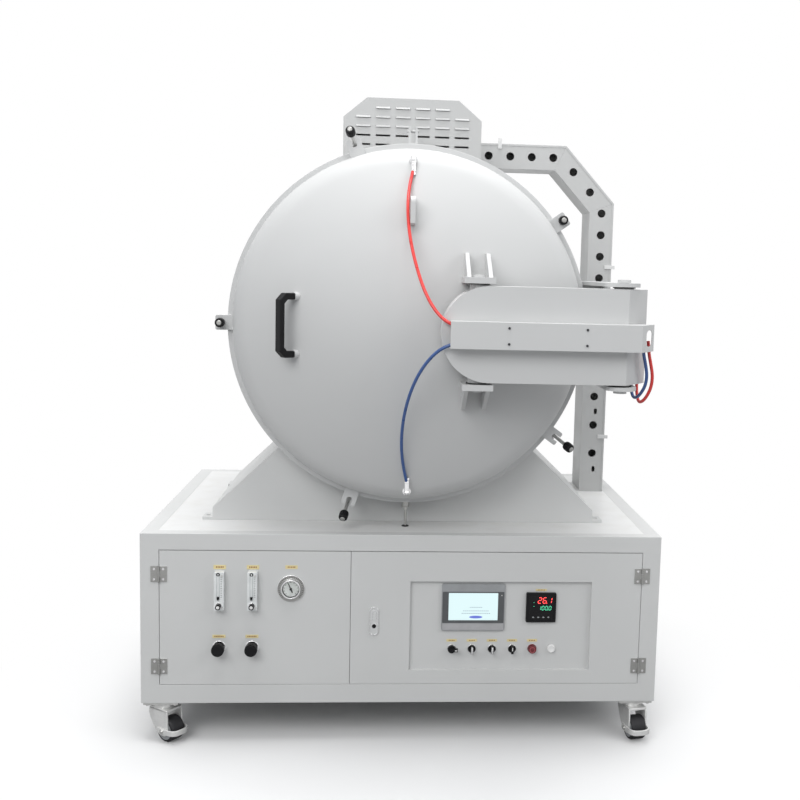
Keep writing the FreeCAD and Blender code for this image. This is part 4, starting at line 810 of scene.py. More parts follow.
def dish(radius, crown, knuckle, tangent, side, inset=0.0, steps=40):
    """Points of a dished head from its rim to its apex."""
    across = (radius - knuckle) / (crown - knuckle)
    turn = math.degrees(math.asin(across))
    depth = crown - math.sqrt((crown - knuckle) ** 2 - (radius - knuckle) ** 2)
    centre = tangent + side * (depth - crown)
    bend = arc((radius - knuckle, tangent), knuckle - inset, 0, side * (90 - turn), 14)
    cap = arc((0, centre), crown - inset, side * (90 - turn), side * 90, steps)
    cap[-1] = (0.0, cap[-1][1])
    return bend + cap[1:]


def holed(head, inset=0.0):
    """A dished head's points, as far as the hole for the pumping port."""
    return [point for point in dish(*head, inset=inset) if point[0] > PORT_HOLE]


def make_door_dish():
    """The door: flat ring, outer head and the inner head of its water jacket, and the felt's studs."""
    ring = [(480, RIM_FRONT), (480, RIM_BACK)] \
        + rounded_corner((585, RIM_BACK), (480, RIM_BACK), (585, RIM_FRONT), 1.5) \
        + rounded_corner((585, RIM_FRONT), (585, RIM_BACK), (566, RIM_FRONT), 2.0) + [(566.2, RIM_FRONT)]
    outline = ring + dish(*DOOR_HEAD) + list(reversed(dish(*DOOR_HEAD, inset=10))) + [(556, RIM_FRONT)]
    door = turned("door_dish", outline, CENTRE, 240, "chamber_door", "vessel_paint", VESSEL, smooth=30)
    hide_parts("door_shell")
    outline = [(479.7, RIM_BACK)] + dish(*LINER_HEAD) + list(reversed(dish(*LINER_HEAD, inset=6))) \
        + [(473.7, RIM_BACK)]
    turned("door_liner", outline, CENTRE, 160, "chamber_door", "vessel_paint", STEEL, smooth=30)
    for i, (x, z) in enumerate(((-1, -1), (1, -1), (-1, 1), (1, 1)), 1):
        turned("felt_stud_%d" % i, [(0, -62), (9, -62), (9, 105), (0, 105)],
               on_axis(x * STUD_X, 0, z * STUD_X), 24, "chamber_door", "bright_steel", STEEL)


def make_vessel():
    """The chamber: flange with its seal groove, outer shell, inner vessel and the port's sleeve."""
    radius, crown, knuckle, tangent = VESSEL_HEAD[:4]
    centre = tangent - math.sqrt((crown - knuckle) ** 2 - (radius - knuckle) ** 2)
    lip, lip_inner = [(PORT_HOLE, centre + math.sqrt(reach ** 2 - PORT_HOLE ** 2))
                      for reach in (crown, crown - VESSEL_WALL)]
    flange = [(480, FLANGE_FRONT), (524.7, FLANGE_FRONT), (524.7, 125.5), (535.3, 125.5),
              (535.3, FLANGE_FRONT)] \
        + rounded_corner((590, FLANGE_FRONT), (535, FLANGE_FRONT), (590, FLANGE_BACK), 2.0) \
        + rounded_corner((590, FLANGE_BACK), (590, FLANGE_FRONT), (545, FLANGE_BACK), 2.0) \
        + [(545.2, FLANGE_BACK)]
    outline = flange + holed(VESSEL_HEAD) + [lip, lip_inner] \
        + list(reversed(holed(VESSEL_HEAD, VESSEL_WALL))) + [(537, FLANGE_BACK), (480, FLANGE_BACK)]
    vessel = turned("vessel", outline, CENTRE, 240, "furnace", "vessel_paint", VESSEL, smooth=30)
    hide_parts("chamber_shell")
    wall = holed(INNER_HEAD)
    outline = [(505, FLANGE_BACK)] + wall + list(reversed(holed(INNER_HEAD, INNER_WALL))) \
        + [(499, FLANGE_BACK)]
    turned("inner_vessel", outline, CENTRE, 160, "furnace", "vessel_paint", STEEL, smooth=30)
    near, far = wall[-1][1] - 4, lip_inner[1]
    outline = [(PORT_HOLE, near), (PORT_HOLE, far), (PORT_HOLE + INNER_WALL, far),
               (PORT_HOLE + INNER_WALL, near)]
    turned("port_sleeve", outline, CENTRE, 96, "furnace", "vessel_paint", STEEL, smooth=30)


make_door_dish()
make_vessel()
print("door and vessel turned")

# %% [markdown]
# ## Steel with softened edges
# The cabinet, saddle, cover, duct, arm and brackets keep their CAD shape and get rounded edges: about a
# millimetre and a half where sheet is folded, less on machined and stamped parts.

# %% Rounded nodes
ROUNDED = [
    ("cabinet_frame", 2.0, CABINET, "cabinet_paint"), ("cabinet_top", 0.8, TABLE_COAT, "table_paint"),
    ("left_door", 1.0, CABINET, "cabinet_paint"), ("right_door", 1.0, CABINET, "cabinet_paint"),
    ("saddle", 1.2, CABINET, "cabinet_paint"), ("vent_cover", 0.7, DUCT, "cabinet_paint"),
    ("cable_duct", 0.8, DUCT, "cabinet_paint"), ("swing_arm", 1.5, ARM, "arm_paint"),
    ("hose_trough", 0.8, ARM, "arm_paint"), ("arm_bracket", 1.2, ARM, "arm_paint"),
    ("door_brackets", 1.0, ARM, "arm_paint"), ("door_lugs", 1.2, VESSEL, "vessel_paint"),
    ("clamp_clevises", 0.8, VESSEL, "vessel_paint"), ("door_handle", 2.5, BLACK, "black_plastic"),
    ("duct_clips", 0.6, TABLE_COAT, "table_paint"), ("vacuum_port", 0.8, STEEL, "bright_steel"),
    ("hearth", 1.0, GRAPHITE, "graphite"), ("heater_bars", 1.0, GRAPHITE, "graphite"),
    ("electrodes", 1.0, COPPER, "copper"), ("cabinet_equipment", 1.5, IRON, "machine_iron"),
    ("caster_plates", 0.8, STEEL, "bright_steel"), ("cabinet_hinges", 0.4, HINGE_STEEL, "bright_steel"),
]
for node, radius, material, slot in ROUNDED:
    rounded_node(node, radius, material, slot)
print(len(ROUNDED), "nodes rounded")

# %% Finishes on the nodes that keep their shape
KEPT = {
    "cabinet_panels": CABINET, "hot_zone_felt": FELT, "door_felt": FELT, "door_seal": RUBBER,
    "water_lines": HINGE_STEEL, "door_fittings": CHROME, "touch_screen": SATIN_GREY,
    "temperature_controller": BLACK, "door_latch": CHROME, "lever_switch": BLACK, "stop_button": MAROON,
}
KEPT.update({"selector_%d" % number: BLACK for number in (1, 2, 3)})
KEPT.update({"%s_knob_%d" % (kind, number): BLACK for kind in ("flow", "valve") for number in (1, 2)})
KEPT.update({"clamp_bolt_%d" % number: STEEL for number in range(1, 6)})
KEPT.update({"caster_wheel_%d" % number: TREAD for number in range(1, 5)})
for node, material in KEPT.items():
    slots = NODES[node].data.materials
    slots.clear()
    slots.append(material)
print(len(KEPT), "nodes keep their shape")

# %% [markdown]
# ## The water hoses
# A red and a blue hose bring cooling water to the door. Each leaves an elbow on the dish, hangs in an easy
# bow and goes into the trough on the arm. Two more hang in a loop from the trough's far end to the
# bracket, with slack for the arm's swing. A hose's line is one smooth curve with few control points, so
# that it bends like a stiff tube and not like wire. The hoses ride on no body.

# %% Hoses


def mesh_of(piece):
    """The mesh that an object shows now."""
    bpy.context.view_layer.update()
    return bpy.data.meshes.new_from_object(piece.evaluated_get(bpy.context.evaluated_depsgraph_get()))


def hose(name, points, material, slot, node):
    """A water hose on a smooth curve, on no body."""
    curve = bpy.data.curves.new(name, "CURVE")
    curve.dimensions = "3D"
    spline = curve.splines.new("NURBS")
    spline.points.add(len(points) - 1)
    for point, (x, y, z) in zip(spline.points, points):
        point.co = (x, FRONT + y, AXIS + z, 1)
    spline.order_u = 3
    spline.use_endpoint_u = True
    curve.resolution_u = 12
    guide = bpy.data.objects.new(name + "_guide", curve)
    bpy.context.scene.collection.objects.link(guide)
    path = [tuple(vertex.co) for vertex in mesh_of(guide).vertices]
    curve.bevel_depth = 0.005
    curve.bevel_resolution = 6
    curve.use_fill_caps = True
    bm = bmesh.new()
    bm.from_mesh(mesh_of(guide))
    bpy.data.objects.remove(guide)
    piece = add_piece(name, mesh_from(name, bm), None, slot, material)
    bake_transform(piece)
    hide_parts(node)


hose("red_door_hose", [
    (0, -0.060, 0.492), (-0.006, -0.074, 0.464), (-0.013, -0.102, 0.424), (-0.016, -0.136, 0.376),
    (-0.013, -0.166, 0.316), (-0.003, -0.198, 0.252), (0.014, -0.232, 0.186), (0.036, -0.266, 0.122),
    (0.066, -0.294, 0.068), (0.102, -0.311, 0.033), (0.134, -0.316, 0.023),
], RED_HOSE, "red_hose", "red_hose_front")
hose("blue_door_hose", [
    (0, -0.060, -0.492), (-0.008, -0.077, -0.458), (-0.016, -0.106, -0.412), (-0.021, -0.138, -0.360),
    (-0.020, -0.168, -0.300), (-0.012, -0.202, -0.236), (0.004, -0.236, -0.172), (0.028, -0.268, -0.114),
    (0.060, -0.294, -0.066), (0.098, -0.310, -0.034), (0.134, -0.316, -0.024),
], BLUE_HOSE, "blue_hose", "blue_hose_front")
hose("red_arm_hose", [
    (0.710, -0.250, -0.010), (0.713, -0.250, -0.044), (0.722, -0.247, -0.080), (0.731, -0.240, -0.116),
    (0.732, -0.226, -0.152), (0.724, -0.206, -0.184), (0.716, -0.184, -0.202), (0.712, -0.158, -0.206),
    (0.712, -0.134, -0.190), (0.713, -0.119, -0.164), (0.714, -0.1154, -0.134), (0.714, -0.1154, -0.1047),
], RED_HOSE, "red_hose", "red_hose_rear")
hose("blue_arm_hose", [
    (0.690, -0.262, -0.012), (0.694, -0.262, -0.046), (0.704, -0.257, -0.082), (0.712, -0.247, -0.116),
    (0.712, -0.231, -0.148), (0.705, -0.208, -0.174), (0.699, -0.182, -0.190), (0.695, -0.155, -0.192),
    (0.694, -0.132, -0.177), (0.695, -0.118, -0.152), (0.695, -0.1154, -0.124), (0.695, -0.1154, -0.1047),
], BLUE_HOSE, "blue_hose", "blue_hose_rear")
print("4 hoses")

# %% [markdown]
# ## The control panel
# The right-hand door carries a recessed panel with a touch screen, a temperature controller and a row of
# switches. Screens are what people read first, so the lit faces are built as separate plates behind their
# frames. The controller's figures are made of seven segments, each a small slanted bar, like the real ones.

# %% Seven-segment figures
SEGMENTS = {"0": "abcdef", "1": "bc", "2": "abged", "6": "afgedc"}
LEAN = 0.14
BAR_DEPTH = 0.3
PANEL = (RIGHT, "panel_plastic")


def figures(name, text, place, width, height, stroke, material):
    """Seven-segment figures that lean a little, from their lower left corner."""
    bm = bmesh.new()
    lean = Matrix.Identity(4)
    lean[0][2] = LEAN
    half = height / 2
    bars = {"a": (0, height, width, height), "b": (width, half, width, height), "c": (width, 0, width, half),
            "d": (0, 0, width, 0), "e": (0, 0, 0, half), "f": (0, half, 0, height),
            "g": (0, half, width, half)}
    edge = stroke / 2
    gap = stroke * 0.6
    left = 0.0
    for mark in text:
        if mark == ".":
            left -= width * 0.28
            slab(bm, mm(left - edge, -BAR_DEPTH, -edge), mm(left + edge, 0, edge), lean)
            left += width * 0.42
            continue
        for letter in SEGMENTS[mark]:
            x0, z0, x1, z1 = bars[letter]
            in_x, in_z = (gap, -edge) if z0 == z1 else (-edge, gap)
            slab(bm, mm(left + x0 + in_x, -BAR_DEPTH, z0 + in_z), mm(left + x1 - in_x, 0, z1 - in_z), lean)
        left += width * 1.55
    bmesh.ops.translate(bm, verts=bm.verts, vec=place)
    add_piece(name, mesh_from(name, bm), *PANEL, material)


# %% Touch screen and controller
PANEL_Y = 12.0
SCREEN = on_front(229, PANEL_Y, -244)
CONTROL_X, CONTROL_Z = 455, -244


def make_screen():
    """The dark frame round the glass, the lit picture and its few lines of text."""
    opening = shifted(plate_outline(164, 93, 1.0), 0, 2.5)
    frame_piece("screen_frame", plate_outline(204, 106, 2.5), opening, SCREEN + mm(0, -7, 0), 0.8, *PANEL,
                DARK_GREY, 0.3)
    plate_piece("screen_picture", plate_outline(163.4, 92.4, 1.0), SCREEN + mm(0, -6, 2.5), 0.5, *PANEL,
                LIT_SCREEN)
    plate_piece("screen_lower_strip", plate_outline(203, 22, 2.0), SCREEN + mm(0, -7, -66), 0.5, *PANEL,
                PALE_GREY, 0.3)
    ellipse = [(22 * math.cos(a), 4.6 * math.sin(a)) for a in circle(40)]
    plate_piece("screen_button", ellipse, SCREEN + mm(9, -6.7, -33), 0.2, *PANEL, LIT_BLUE)
    for number, (z, count, step) in enumerate(((-12, 14, 6.2), (-20.5, 16, 6.0), (0, 7, 6.0)), 1):
        row("screen_text_%d" % number, *PANEL, LIT_TEXT, count, (step, 0, 0), (3.6, 2.6, 0.2), 4,
            SCREEN + mm(9 - step * (count - 1) / 2, -6.7, z))
    plate_piece("screen_lamp", plate_outline(3, 3, 1.4), SCREEN + mm(94, -7.8, 41), 0.3, *PANEL, WHITE)


def make_controller():
    """The controller's face with its two rows of figures and its keys."""
    face = on_front(CONTROL_X, PANEL_Y - 7, CONTROL_Z)
    front = face + mm(0, -0.7, 0)
    plate_piece("controller_face", plate_outline(85, 85, 1.0), face, 0.6, RIGHT, "black_plastic",
                GLOSS_BLACK)
    figures("controller_value", "26.1", front + mm(-11, 0, 15), 10.5, 19, 2.4, RED_DIGITS)
    figures("controller_target", "100.0", front + mm(-9, 0, -8), 7.2, 13, 1.8, GREEN_DIGITS)
    row("controller_lamps", *PANEL, GREEN_DIGITS, 2, (0, 13, 0), (2.2, 2.2, 0.3), 12, front + mm(-24, 0, 4))
    row("controller_keys", *PANEL, SATIN_GREY, 4, (17, 0, 0), (7, 4.5, 0.9), 24, front + mm(-25.5, 0, -33))


make_screen()
make_controller()
print("touch screen and controller")

# %% [markdown]
# ## Switches and their labels
# A lever switch, three selectors and a stop button stand in a row, each in a bright collar. The knobs turn
# on their own bodies, so their pointer lines ride with them. The labels above are plain plates: the words
# that they carry on the real machine are left off.

# %% Switches
SWITCH_Z = -385.5
SWITCHES = {"lever_switch": 160.5, "selector_1": 227.8, "selector_2": 295.0, "selector_3": 362.2,
            "stop_button": 429.5}
BLANK_X = 494
STROKE_STEP = 5.2


def label(name, x, z, width, height, y, body):
    """A yellow plate with a line of short strokes."""
    plate_piece(name, plate_outline(width, height, 1.2), on_front(x, y, z), 0.8, body, "panel_plastic",
                YELLOW, 0.25)
    strokes = max(3, int(width / 7))
    row(name + "_strokes", body, "panel_plastic", STROKE, strokes, (STROKE_STEP, 0, 0),
        (3.2, height * 0.36, 0.15), 4, on_front(x - STROKE_STEP * (strokes - 1) / 2, y - 0.85, z))


def make_switches():
    """Collars, pointer lines and labels of the five switches, and the white cap of an unused hole."""
    def at(name):
        return on_front(SWITCHES[name], PANEL_Y, SWITCH_Z)

    for name, x in SWITCHES.items():
        turned(name + "_collar", softened([(12.8, -4.1), (12.8, -8.6), (14.6, -8.6), (15.6, -4.1)], 0.7),
               at(name), 64, RIGHT, "chrome_trim", CHROME if name != "stop_button" else MAROON)
        label(name + "_label", x, SWITCH_Z + 26.5, 34, 9, PANEL_Y, RIGHT)
    for name in ("selector_1", "selector_2"):
        plate_piece(name + "_cap", plate_outline(6.4, 22.5, 1.6), at(name) + mm(0, -25, 0), 0.8, name,
                    "chrome_trim", CHROME, 0.3)
        plate_piece(name + "_line", plate_outline(2.6, 10, 0.8), at(name) + mm(0, -25.8, 5.2), 0.3, name,
                    "panel_plastic", WHITE)
    plate_piece("selector_3_line", plate_outline(3.0, 12, 0.8), at("selector_3") + mm(0, -25, 4), 0.4,
                "selector_3", "panel_plastic", WHITE)
    plate_piece("lever_mark", plate_outline(8, 3, 1.0), at("lever_switch") + mm(14, -26, 0), 0.4,
                "lever_switch", "panel_plastic", WHITE)
    turned("stop_ring", softened([(7.4, -18.8), (7.4, -20.2), (9.4, -20.2), (9.4, -18.8)], 0.4),
           at("stop_button"), 48, "stop_button", "red_plastic", RED_MARK)
    outline = [(0, 0.2), (13.3, 0.2), (13.3, -8.4), (10.5, -9.6), (7.5, -8.6), (0, -8.3)]
    turned("blank_cap", softened(outline, 0.8, sharp=(0, 5)), on_front(BLANK_X, PANEL_Y, SWITCH_Z), 64,
           *PANEL, WHITE)
    label("controller_label", CONTROL_X, CONTROL_Z + 58, 38, 7, PANEL_Y, RIGHT)


make_switches()
print("switches and labels")

# %% Latch
LATCH_X = -97


def make_latch():
    """The slotted latch plate with its raised rim, its pull and the lock core's keyhole."""
    place = on_front(LATCH_X, -3.0, -289)
    frame_piece("latch_rim", plate_outline(30, 96, 14.5, 10), plate_outline(25, 91, 12, 10), place, 1.6,
                RIGHT, "chrome_trim", CHROME, 0.5)
    frame_piece("latch_pull", shifted(plate_outline(16, 58, 7.5, 10), 0, 9),
                shifted(plate_outline(11, 53, 5, 10), 0, 9), place, 1.2, RIGHT, "chrome_trim", CHROME, 0.4)
    plate_piece("latch_face", plate_outline(24.6, 90.6, 11.8, 10), place + mm(0, 0.1, 0), 0.35, RIGHT,
                "chrome_trim", SATIN_STEEL)
    turned("latch_keyhole", [(0, -5.0), (6.8, -5.0), (6.8, -5.8), (0, -5.8)], on_front(LATCH_X, 0, -305), 40,
           "door_latch", "black_plastic", BLACK)


make_latch()
print("latch")

# %% [markdown]
# ## Gas instruments
# The left-hand door shows how much gas flows in and what the chamber's pressure is. Each flow meter is a
# block of clear plastic with a tapered bore, a float and a needle valve below it. The gauge has a wide
# flange, a ring of marks and a black needle under glass.

# %% Flow meters and valves
FLOW_X = (-596.5, -490.5)
FLOW_Z = -185
FLOW_KNOB_Z = -232
VALVE_SHIFT = -2.5
VALVE_Z = -378.5
VALVE_LABEL_Z = -341.4
UPRIGHT = Matrix.Rotation(math.pi / 2, 4, "X")


def make_flow_meter(number, x):
    """A clear block with its bore, float, scale and screws, and the cap and collar of its needle valve."""
    block = on_front(x, 0, FLOW_Z)
    knob = on_front(x, 0, FLOW_KNOB_Z)
    body = plate_piece("flow_body_%d" % number, plate_outline(32, 128, 3.5), block, 22, LEFT,
                       "clear_plastic", FROSTED, 1.2)
    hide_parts("gas_instruments")
    plate_piece("flow_window_%d" % number, plate_outline(11, 84, 4.0), block + mm(-2, -21.9, 12), 0.6, LEFT,
                "clear_plastic", TUBE_SHADE, 0.2)
    turned("flow_tube_%d" % number, [(0, -39), (3.4, -39), (4.2, 39), (0, 39)],
           block + mm(-2, -20.5, 12), 32, LEFT, "clear_plastic", FROSTED, UPRIGHT)
    turned("flow_float_%d" % number, [(0, -5), (2.6, -5), (4.2, 3), (4.2, 5), (0, 5)],
           block + mm(-2, -24.6, -22), 24, LEFT, "black_plastic", BLACK, UPRIGHT)
    row("flow_scale_%d" % number, LEFT, "black_plastic", PRINT, 12, (0, 5.8, 0), (5.0, 1.0, 0.2), 4,
        block + mm(8.4, -22.1, -18))
    row("flow_screws_%d" % number, LEFT, "bright_steel", STEEL, 2, (0, 104, 0), (7.5, 7.5, 2.2), 24,
        block + mm(9.5, -22.6, -52))
    turned("flow_mark_%d" % number, softened([(2.6, -21.9), (2.6, -22.6), (6.2, -22.6), (6.2, -21.9)], 0.2),
           block + mm(-2, 0, 56), 32, LEFT, "black_plastic", PRINT)
    outline = softened([(0, -40.8), (5.4, -40.8), (5.0, -42.0), (0, -42.0)], 0.3, sharp=(0, 3))
    turned("flow_knob_cap_%d" % number, outline, knob, 40, "flow_knob_%d" % number, "panel_plastic", WHITE)
    outline = softened([(7.0, -21.8), (7.0, -25.1), (10.5, -25.1), (11.5, -21.8)], 0.6)
    turned("flow_collar_%d" % number, outline, knob, 48, LEFT, "chrome_trim", CHROME)
    label("flow_label_%d" % number, x, FLOW_Z + 75, 40, 14, 0, LEFT)


def make_valve(number, x):
    """A valve's bright seat, the ribs and the cap of its knob, and its label."""
    place = on_front(x, 0, VALVE_Z)
    knob = "valve_knob_%d" % number
    outline = softened([(6.4, 0), (23, 0), (22, -2.4), (13, -3.4), (6.4, -3.4)], 0.8)
    turned("valve_seat_%d" % number, outline, place, 72, LEFT, "chrome_trim", CHROME)
    grown("valve_ribs_%d" % number, "bolts", knob, "black_plastic", BLACK, Count=28, Ring_radius=mm(19.1),
          Head_radius=mm(1.5), Head_height=mm(19.0), Sides=8, Tilt=FACE_VIEWER, Centre=place + mm(0, -23, 0))
    outline = [(0, -33.6), (16.5, -33.6), (15.5, -35.2), (9, -34.7), (0, -34.6)]
    turned("valve_cap_%d" % number, softened(outline, 0.5, sharp=(0, 4)), place, 64, knob, "black_plastic",
           BLACK)
    label("valve_label_%d" % number, x, VALVE_LABEL_Z, 42, 11, 0, LEFT)


for number, x in enumerate(FLOW_X, 1):
    make_flow_meter(number, x)
    make_valve(number, x + VALVE_SHIFT)
print("2 flow meters and 2 valves")

# %% Pressure gauge
GAUGE_X, GAUGE_Z = -368, -180
NEEDLE_TURN = 24


def make_gauge():
    """The gauge's case, dial, marks, needle, hub and glass, and its label."""
    place = on_front(GAUGE_X, 0, GAUGE_Z)
    outline = [(27.5, -3), (27.5, -16), (31.5, -16), (32.5, -4.2), (44.5, -4.0), (44.5, 0), (32, 0),
               (32, 42), (0, 42), (0, -3)]
    case = turned("gauge_case", softened(outline, 0.9, sharp=(8, 9)), place, 128, LEFT, "chrome_trim",
                  CHROME)
    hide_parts("gas_instruments")
    turned("gauge_band", softened([(33.2, -4.0), (33.2, -4.7), (43.2, -4.7), (43.2, -4.0)], 0.2), place, 96,
           LEFT, "bright_steel", HINGE_STEEL)
    turned("gauge_edge", [(25.4, -7.0), (27.4, -7.0), (27.4, -8.2), (25.4, -7.6)], place, 96, LEFT,
           "black_plastic", PRINT)
    turned("gauge_dial", [(0, -6.0), (27.4, -6.0), (27.4, -7.0), (0, -7.0)], place, 96, LEFT,
           "panel_plastic", DIAL)
    for kind, count, radius, size, y in (("ticks", 31, 39.0, (5.5, 1.5, 0.4), -4.8),
                                         ("marks", 11, 22.5, (5.0, 1.3, 0.2), -7.1)):
        grown("gauge_" + kind, "marks", LEFT, "black_plastic", PRINT, Count=count, Arc_radius=mm(radius),
              Start=math.radians(-45), Sweep=math.radians(270), Size=mm(*size), Tilt=FACE_VIEWER,
              Centre=place + mm(0, y, 0))
    turn = math.radians(NEEDLE_TURN)
    needle = [(-1.8, -13), (1.8, -13), (2.2, -2), (0.9, 20), (-0.9, 20), (-2.2, -2)]
    needle = [(x * math.cos(turn) - z * math.sin(turn), x * math.sin(turn) + z * math.cos(turn))
              for x, z in needle]
    plate_piece("gauge_needle", needle, place + mm(0, -8.4, 0), 0.8, LEFT, "black_plastic", BLACK)
    turned("gauge_hub", softened([(0, -7), (4.2, -7), (4.2, -10.4), (0, -10.4)], 0.8, sharp=(0, 3)), place,
           32, LEFT, "black_plastic", BLACK)
    turned("gauge_glass", [(0, -13.2), (27.4, -13.2), (27.4, -14.4), (0, -14.8)], place, 96, LEFT,
           "clear_plastic", ACRYLIC)
    label("gauge_label", GAUGE_X + 1, GAUGE_Z + 71, 40, 12, 0, LEFT)


make_gauge()
print("pressure gauge")

# %% [markdown]
# ## Screws, welds and fittings
# The small parts tell how the machine is held together: screws in the hinges and the trough, a ring of
# bolts on the pumping port, a weld round the door's dish, and the crimped collars at the hose ends.

# %% Screws, bolts, and black rings as painted shade in the pin gaps
HINGE_X = 790
HINGE_SCREW = 14.5
HINGES = [(side, word, door, level, z) for side, word, door in ((-1, "left", LEFT), (1, "right", RIGHT))
          for level, z in ((1, -442), (2, -134))]
# Each pin has its distance from the middle and the size of the black ring round it, which is painted shade in
# the gap under its plate. A boss of the arm stands up by BOSS, the pin goes on by PIN_CAP, and both pins stand
# BRACKET_NOSE behind the front of the arm's bracket.
PINS = (("door", 198, 28), ("arm", 632, 30))
BOSS = 6
# The height of the black rings that paint the shade in the gaps under the pin plates.
SHADE_RING_HEIGHT = 2.6
PIN_CAP = 22.2
BRACKET_NOSE = 48


def make_hinge_screws():
    """Two screws in each leaf. The outer leaf is on the frame and the inner leaf on the door."""
    for side, word, door, level, z in HINGES:
        for kind, reach, body in (("frame", HINGE_SCREW, "furnace"), ("door", -HINGE_SCREW, door)):
            row("hinge_screws_%s_%s_%d" % (word, kind, level), body, "bright_steel", CHROME, 2, (0, 34, 0),
                (7.6, 7.6, 1.8), 20, on_front(side * (HINGE_X + reach), -2.6, z - 17))


def make_hinge_leaves():
    """Bright plates on the doors' halves of the hinges, and sleeves on their middle knuckles."""
    for side, word, door, level, z in HINGES:
        name = "hinge_leaf_%s_%d" % (word, level)
        plate_piece(name, plate_outline(22.6, 51.8, 1.5), on_front(side * (HINGE_X - 14.6), -2.0, z), 0.5, door,
                    "bright_steel", HINGE_STEEL, 0.2)
        turned(name + "_knuckle", [(3.2, -8.5), (4.25, -8.5), (4.25, 8.5), (3.2, 8.5)],
               on_front(side * HINGE_X, -5, z), 32, door, "bright_steel", HINGE_STEEL, UPRIGHT)


def make_trough_screws():
    """Four pan-head screws on the face of the trough."""
    trough_face = (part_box("hose_trough")[0].y - FRONT) * 1000
    for number, x in enumerate((281, 509), 1):
        row("trough_screws_%d" % number, "arm", "bright_steel", SCREW, 2, (0, 46, 0), (7.5, 7.5, 3.0), 24,
            on_axis(x, trough_face - 1.2, -23))


def make_pin_shade_rings():
    """Black rings round the arm's bosses: painted shade in the gaps under the plates that the pins go through.
    """
    boss_top = (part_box("swing_arm")[1].z - AXIS) * 1000 - PIN_CAP
    pin_y = (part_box("arm_bracket")[0].y - FRONT) * 1000 + BRACKET_NOSE
    for name, x, radius in PINS:
        for side, sign in (("upper", 1), ("lower", -1)):
            outline = [(radius - 1, BOSS - SHADE_RING_HEIGHT), (radius + 4, BOSS - SHADE_RING_HEIGHT), (radius + 4, BOSS),
                       (radius - 1, BOSS)]
            place = on_axis(x, pin_y, sign * (boss_top - BOSS))
            turned("%s_pin_shade_ring_%s" % (name, side), outline, place, 64, "arm", "black_plastic", BLACK,
                   Matrix.Rotation(sign * math.pi / 2, 4, "X"))


make_hinge_screws()
make_hinge_leaves()
make_trough_screws()
make_pin_shade_rings()
PORT_BACK = (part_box("vacuum_port")[1].y - FRONT) * 1000
grown("port_bolts", "bolts", "furnace", "bright_steel", CHROME, Count=8, Ring_radius=mm(102),
      Head_radius=mm(8.5), Head_height=mm(7), Sides=6, Tilt=(math.pi / 2, math.radians(22.5), 0),
      Centre=on_axis(0, PORT_BACK - 19.6, 0))
print("screws, bolts and washers")

# %% Welds
grown("door_weld", "weld", "chamber_door", "vessel_paint", WELD, path=ring_seam(567.4, 74.0), smooth=60,
      Spacing=mm(6.0), Bead=mm(5.0, 2.4, 2.6), Uneven=0.35, Seed=3)
grown("flange_weld", "weld", "furnace", "vessel_paint", WELD, path=ring_seam(546.5, 157.0), smooth=60,
      Spacing=mm(7.0), Bead=mm(5.5, 2.6, 2.8), Uneven=0.35, Seed=5)
print("2 welds")

# %% Vent louvres and the duct's lid
LOUVRE_STEP = 66
LOUVRE_ROW = 30
LOUVRE_TOP = 718.6
LOUVRE_LEAN = 50


def make_louvres():
    """Pressed louvres over the three upper rows of slots. Each leans out over its slot."""
    vent_face = (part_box("vent_cover")[0].y - FRONT) * 1000
    for line, count in enumerate((4, 6, 6)):
        centre = on_axis(-LOUVRE_STEP / 2 * (count - 1), vent_face - 2.4, LOUVRE_TOP - LOUVRE_ROW * line)
        row("vent_louvres_%d" % (line + 1), "furnace", "cabinet_paint", DUCT, count, (LOUVRE_STEP, 0, 0),
            (47, 8, 1.0), 4, centre, (math.radians(LOUVRE_LEAN), 0, 0))


def make_duct_lid():
    """The lid's folded edge, which shows as a thin strip along the duct's outer side."""
    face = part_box("cable_duct")[0].y
    foot = (TABLE - AXIS) * 1000 + 2
    outline = [(232, 667), (596.5, 667), (786, 457.9), (786, foot), (793.5, foot), (793.5, 461),
               (600, 674.5), (232, 674.5)]
    plate_piece("duct_lid", outline, Vector((0, face - mm(0.05), AXIS)), 1.6, "furnace", "cabinet_paint",
                DUCT, 0.4)


make_louvres()
make_duct_lid()
print("louvres and the duct's lid")

# %% Knobs of the swing bolts
# Each bolt has its place on the ring and its swing away from the closed position, in degrees. PIVOT is
# its pin's distance from the centre line and from the front plane, BOLT its length from there.
CLAMPS = ((180, 0), (108, 25), (36, 0), (-36, 39), (-108, 37))
PIVOT = (605, 140)
BOLT = 108


def make_clamp_knob(number, angle, swing):
    """A ribbed black knob with a steel nut in its face, along one swing bolt."""
    ring = Matrix.Translation(CENTRE) @ Matrix.Rotation(math.radians(-angle), 4, "Y")
    along = ring @ Matrix.Translation(mm(*PIVOT, 0)) @ Matrix.Rotation(math.radians(swing), 4, "Z")
    body = "clamp_bolt_%d" % number
    outline = [(7, -0.4), (12.4, -0.4), (14.8, 3.6), (14.8, 24.6), (13.2, 28.4), (7, 28.4)]
    turned(body + "_knob", softened(shifted(outline, 0, -BOLT), 1.2), Vector(), 72, body, "black_plastic",
           BLACK, along)
    tilt = (along.to_3x3() @ Matrix.Rotation(math.pi / 2, 3, "X")).to_euler()
    grown(body + "_ribs", "bolts", body, "black_plastic", BLACK, Count=14, Ring_radius=mm(13.9),
          Head_radius=mm(1.7), Head_height=mm(13), Sides=10, Tilt=tuple(tilt),
          Centre=along @ mm(0, 15 - BOLT, 0))
    outline = [(0, -0.2), (8.2, -0.2), (8.2, -2.4), (5.8, -4.2), (0, -4.2)]
    turned(body + "_nut", softened(shifted(outline, 0, -BOLT), 0.8, sharp=(0, 4)), Vector(), 40, body,
           "bright_steel", HINGE_STEEL, along)


for number, (angle, swing) in enumerate(CLAMPS, 1):
    make_clamp_knob(number, angle, swing)
print("5 clamp knobs")

# %% Hose collars and the grommet


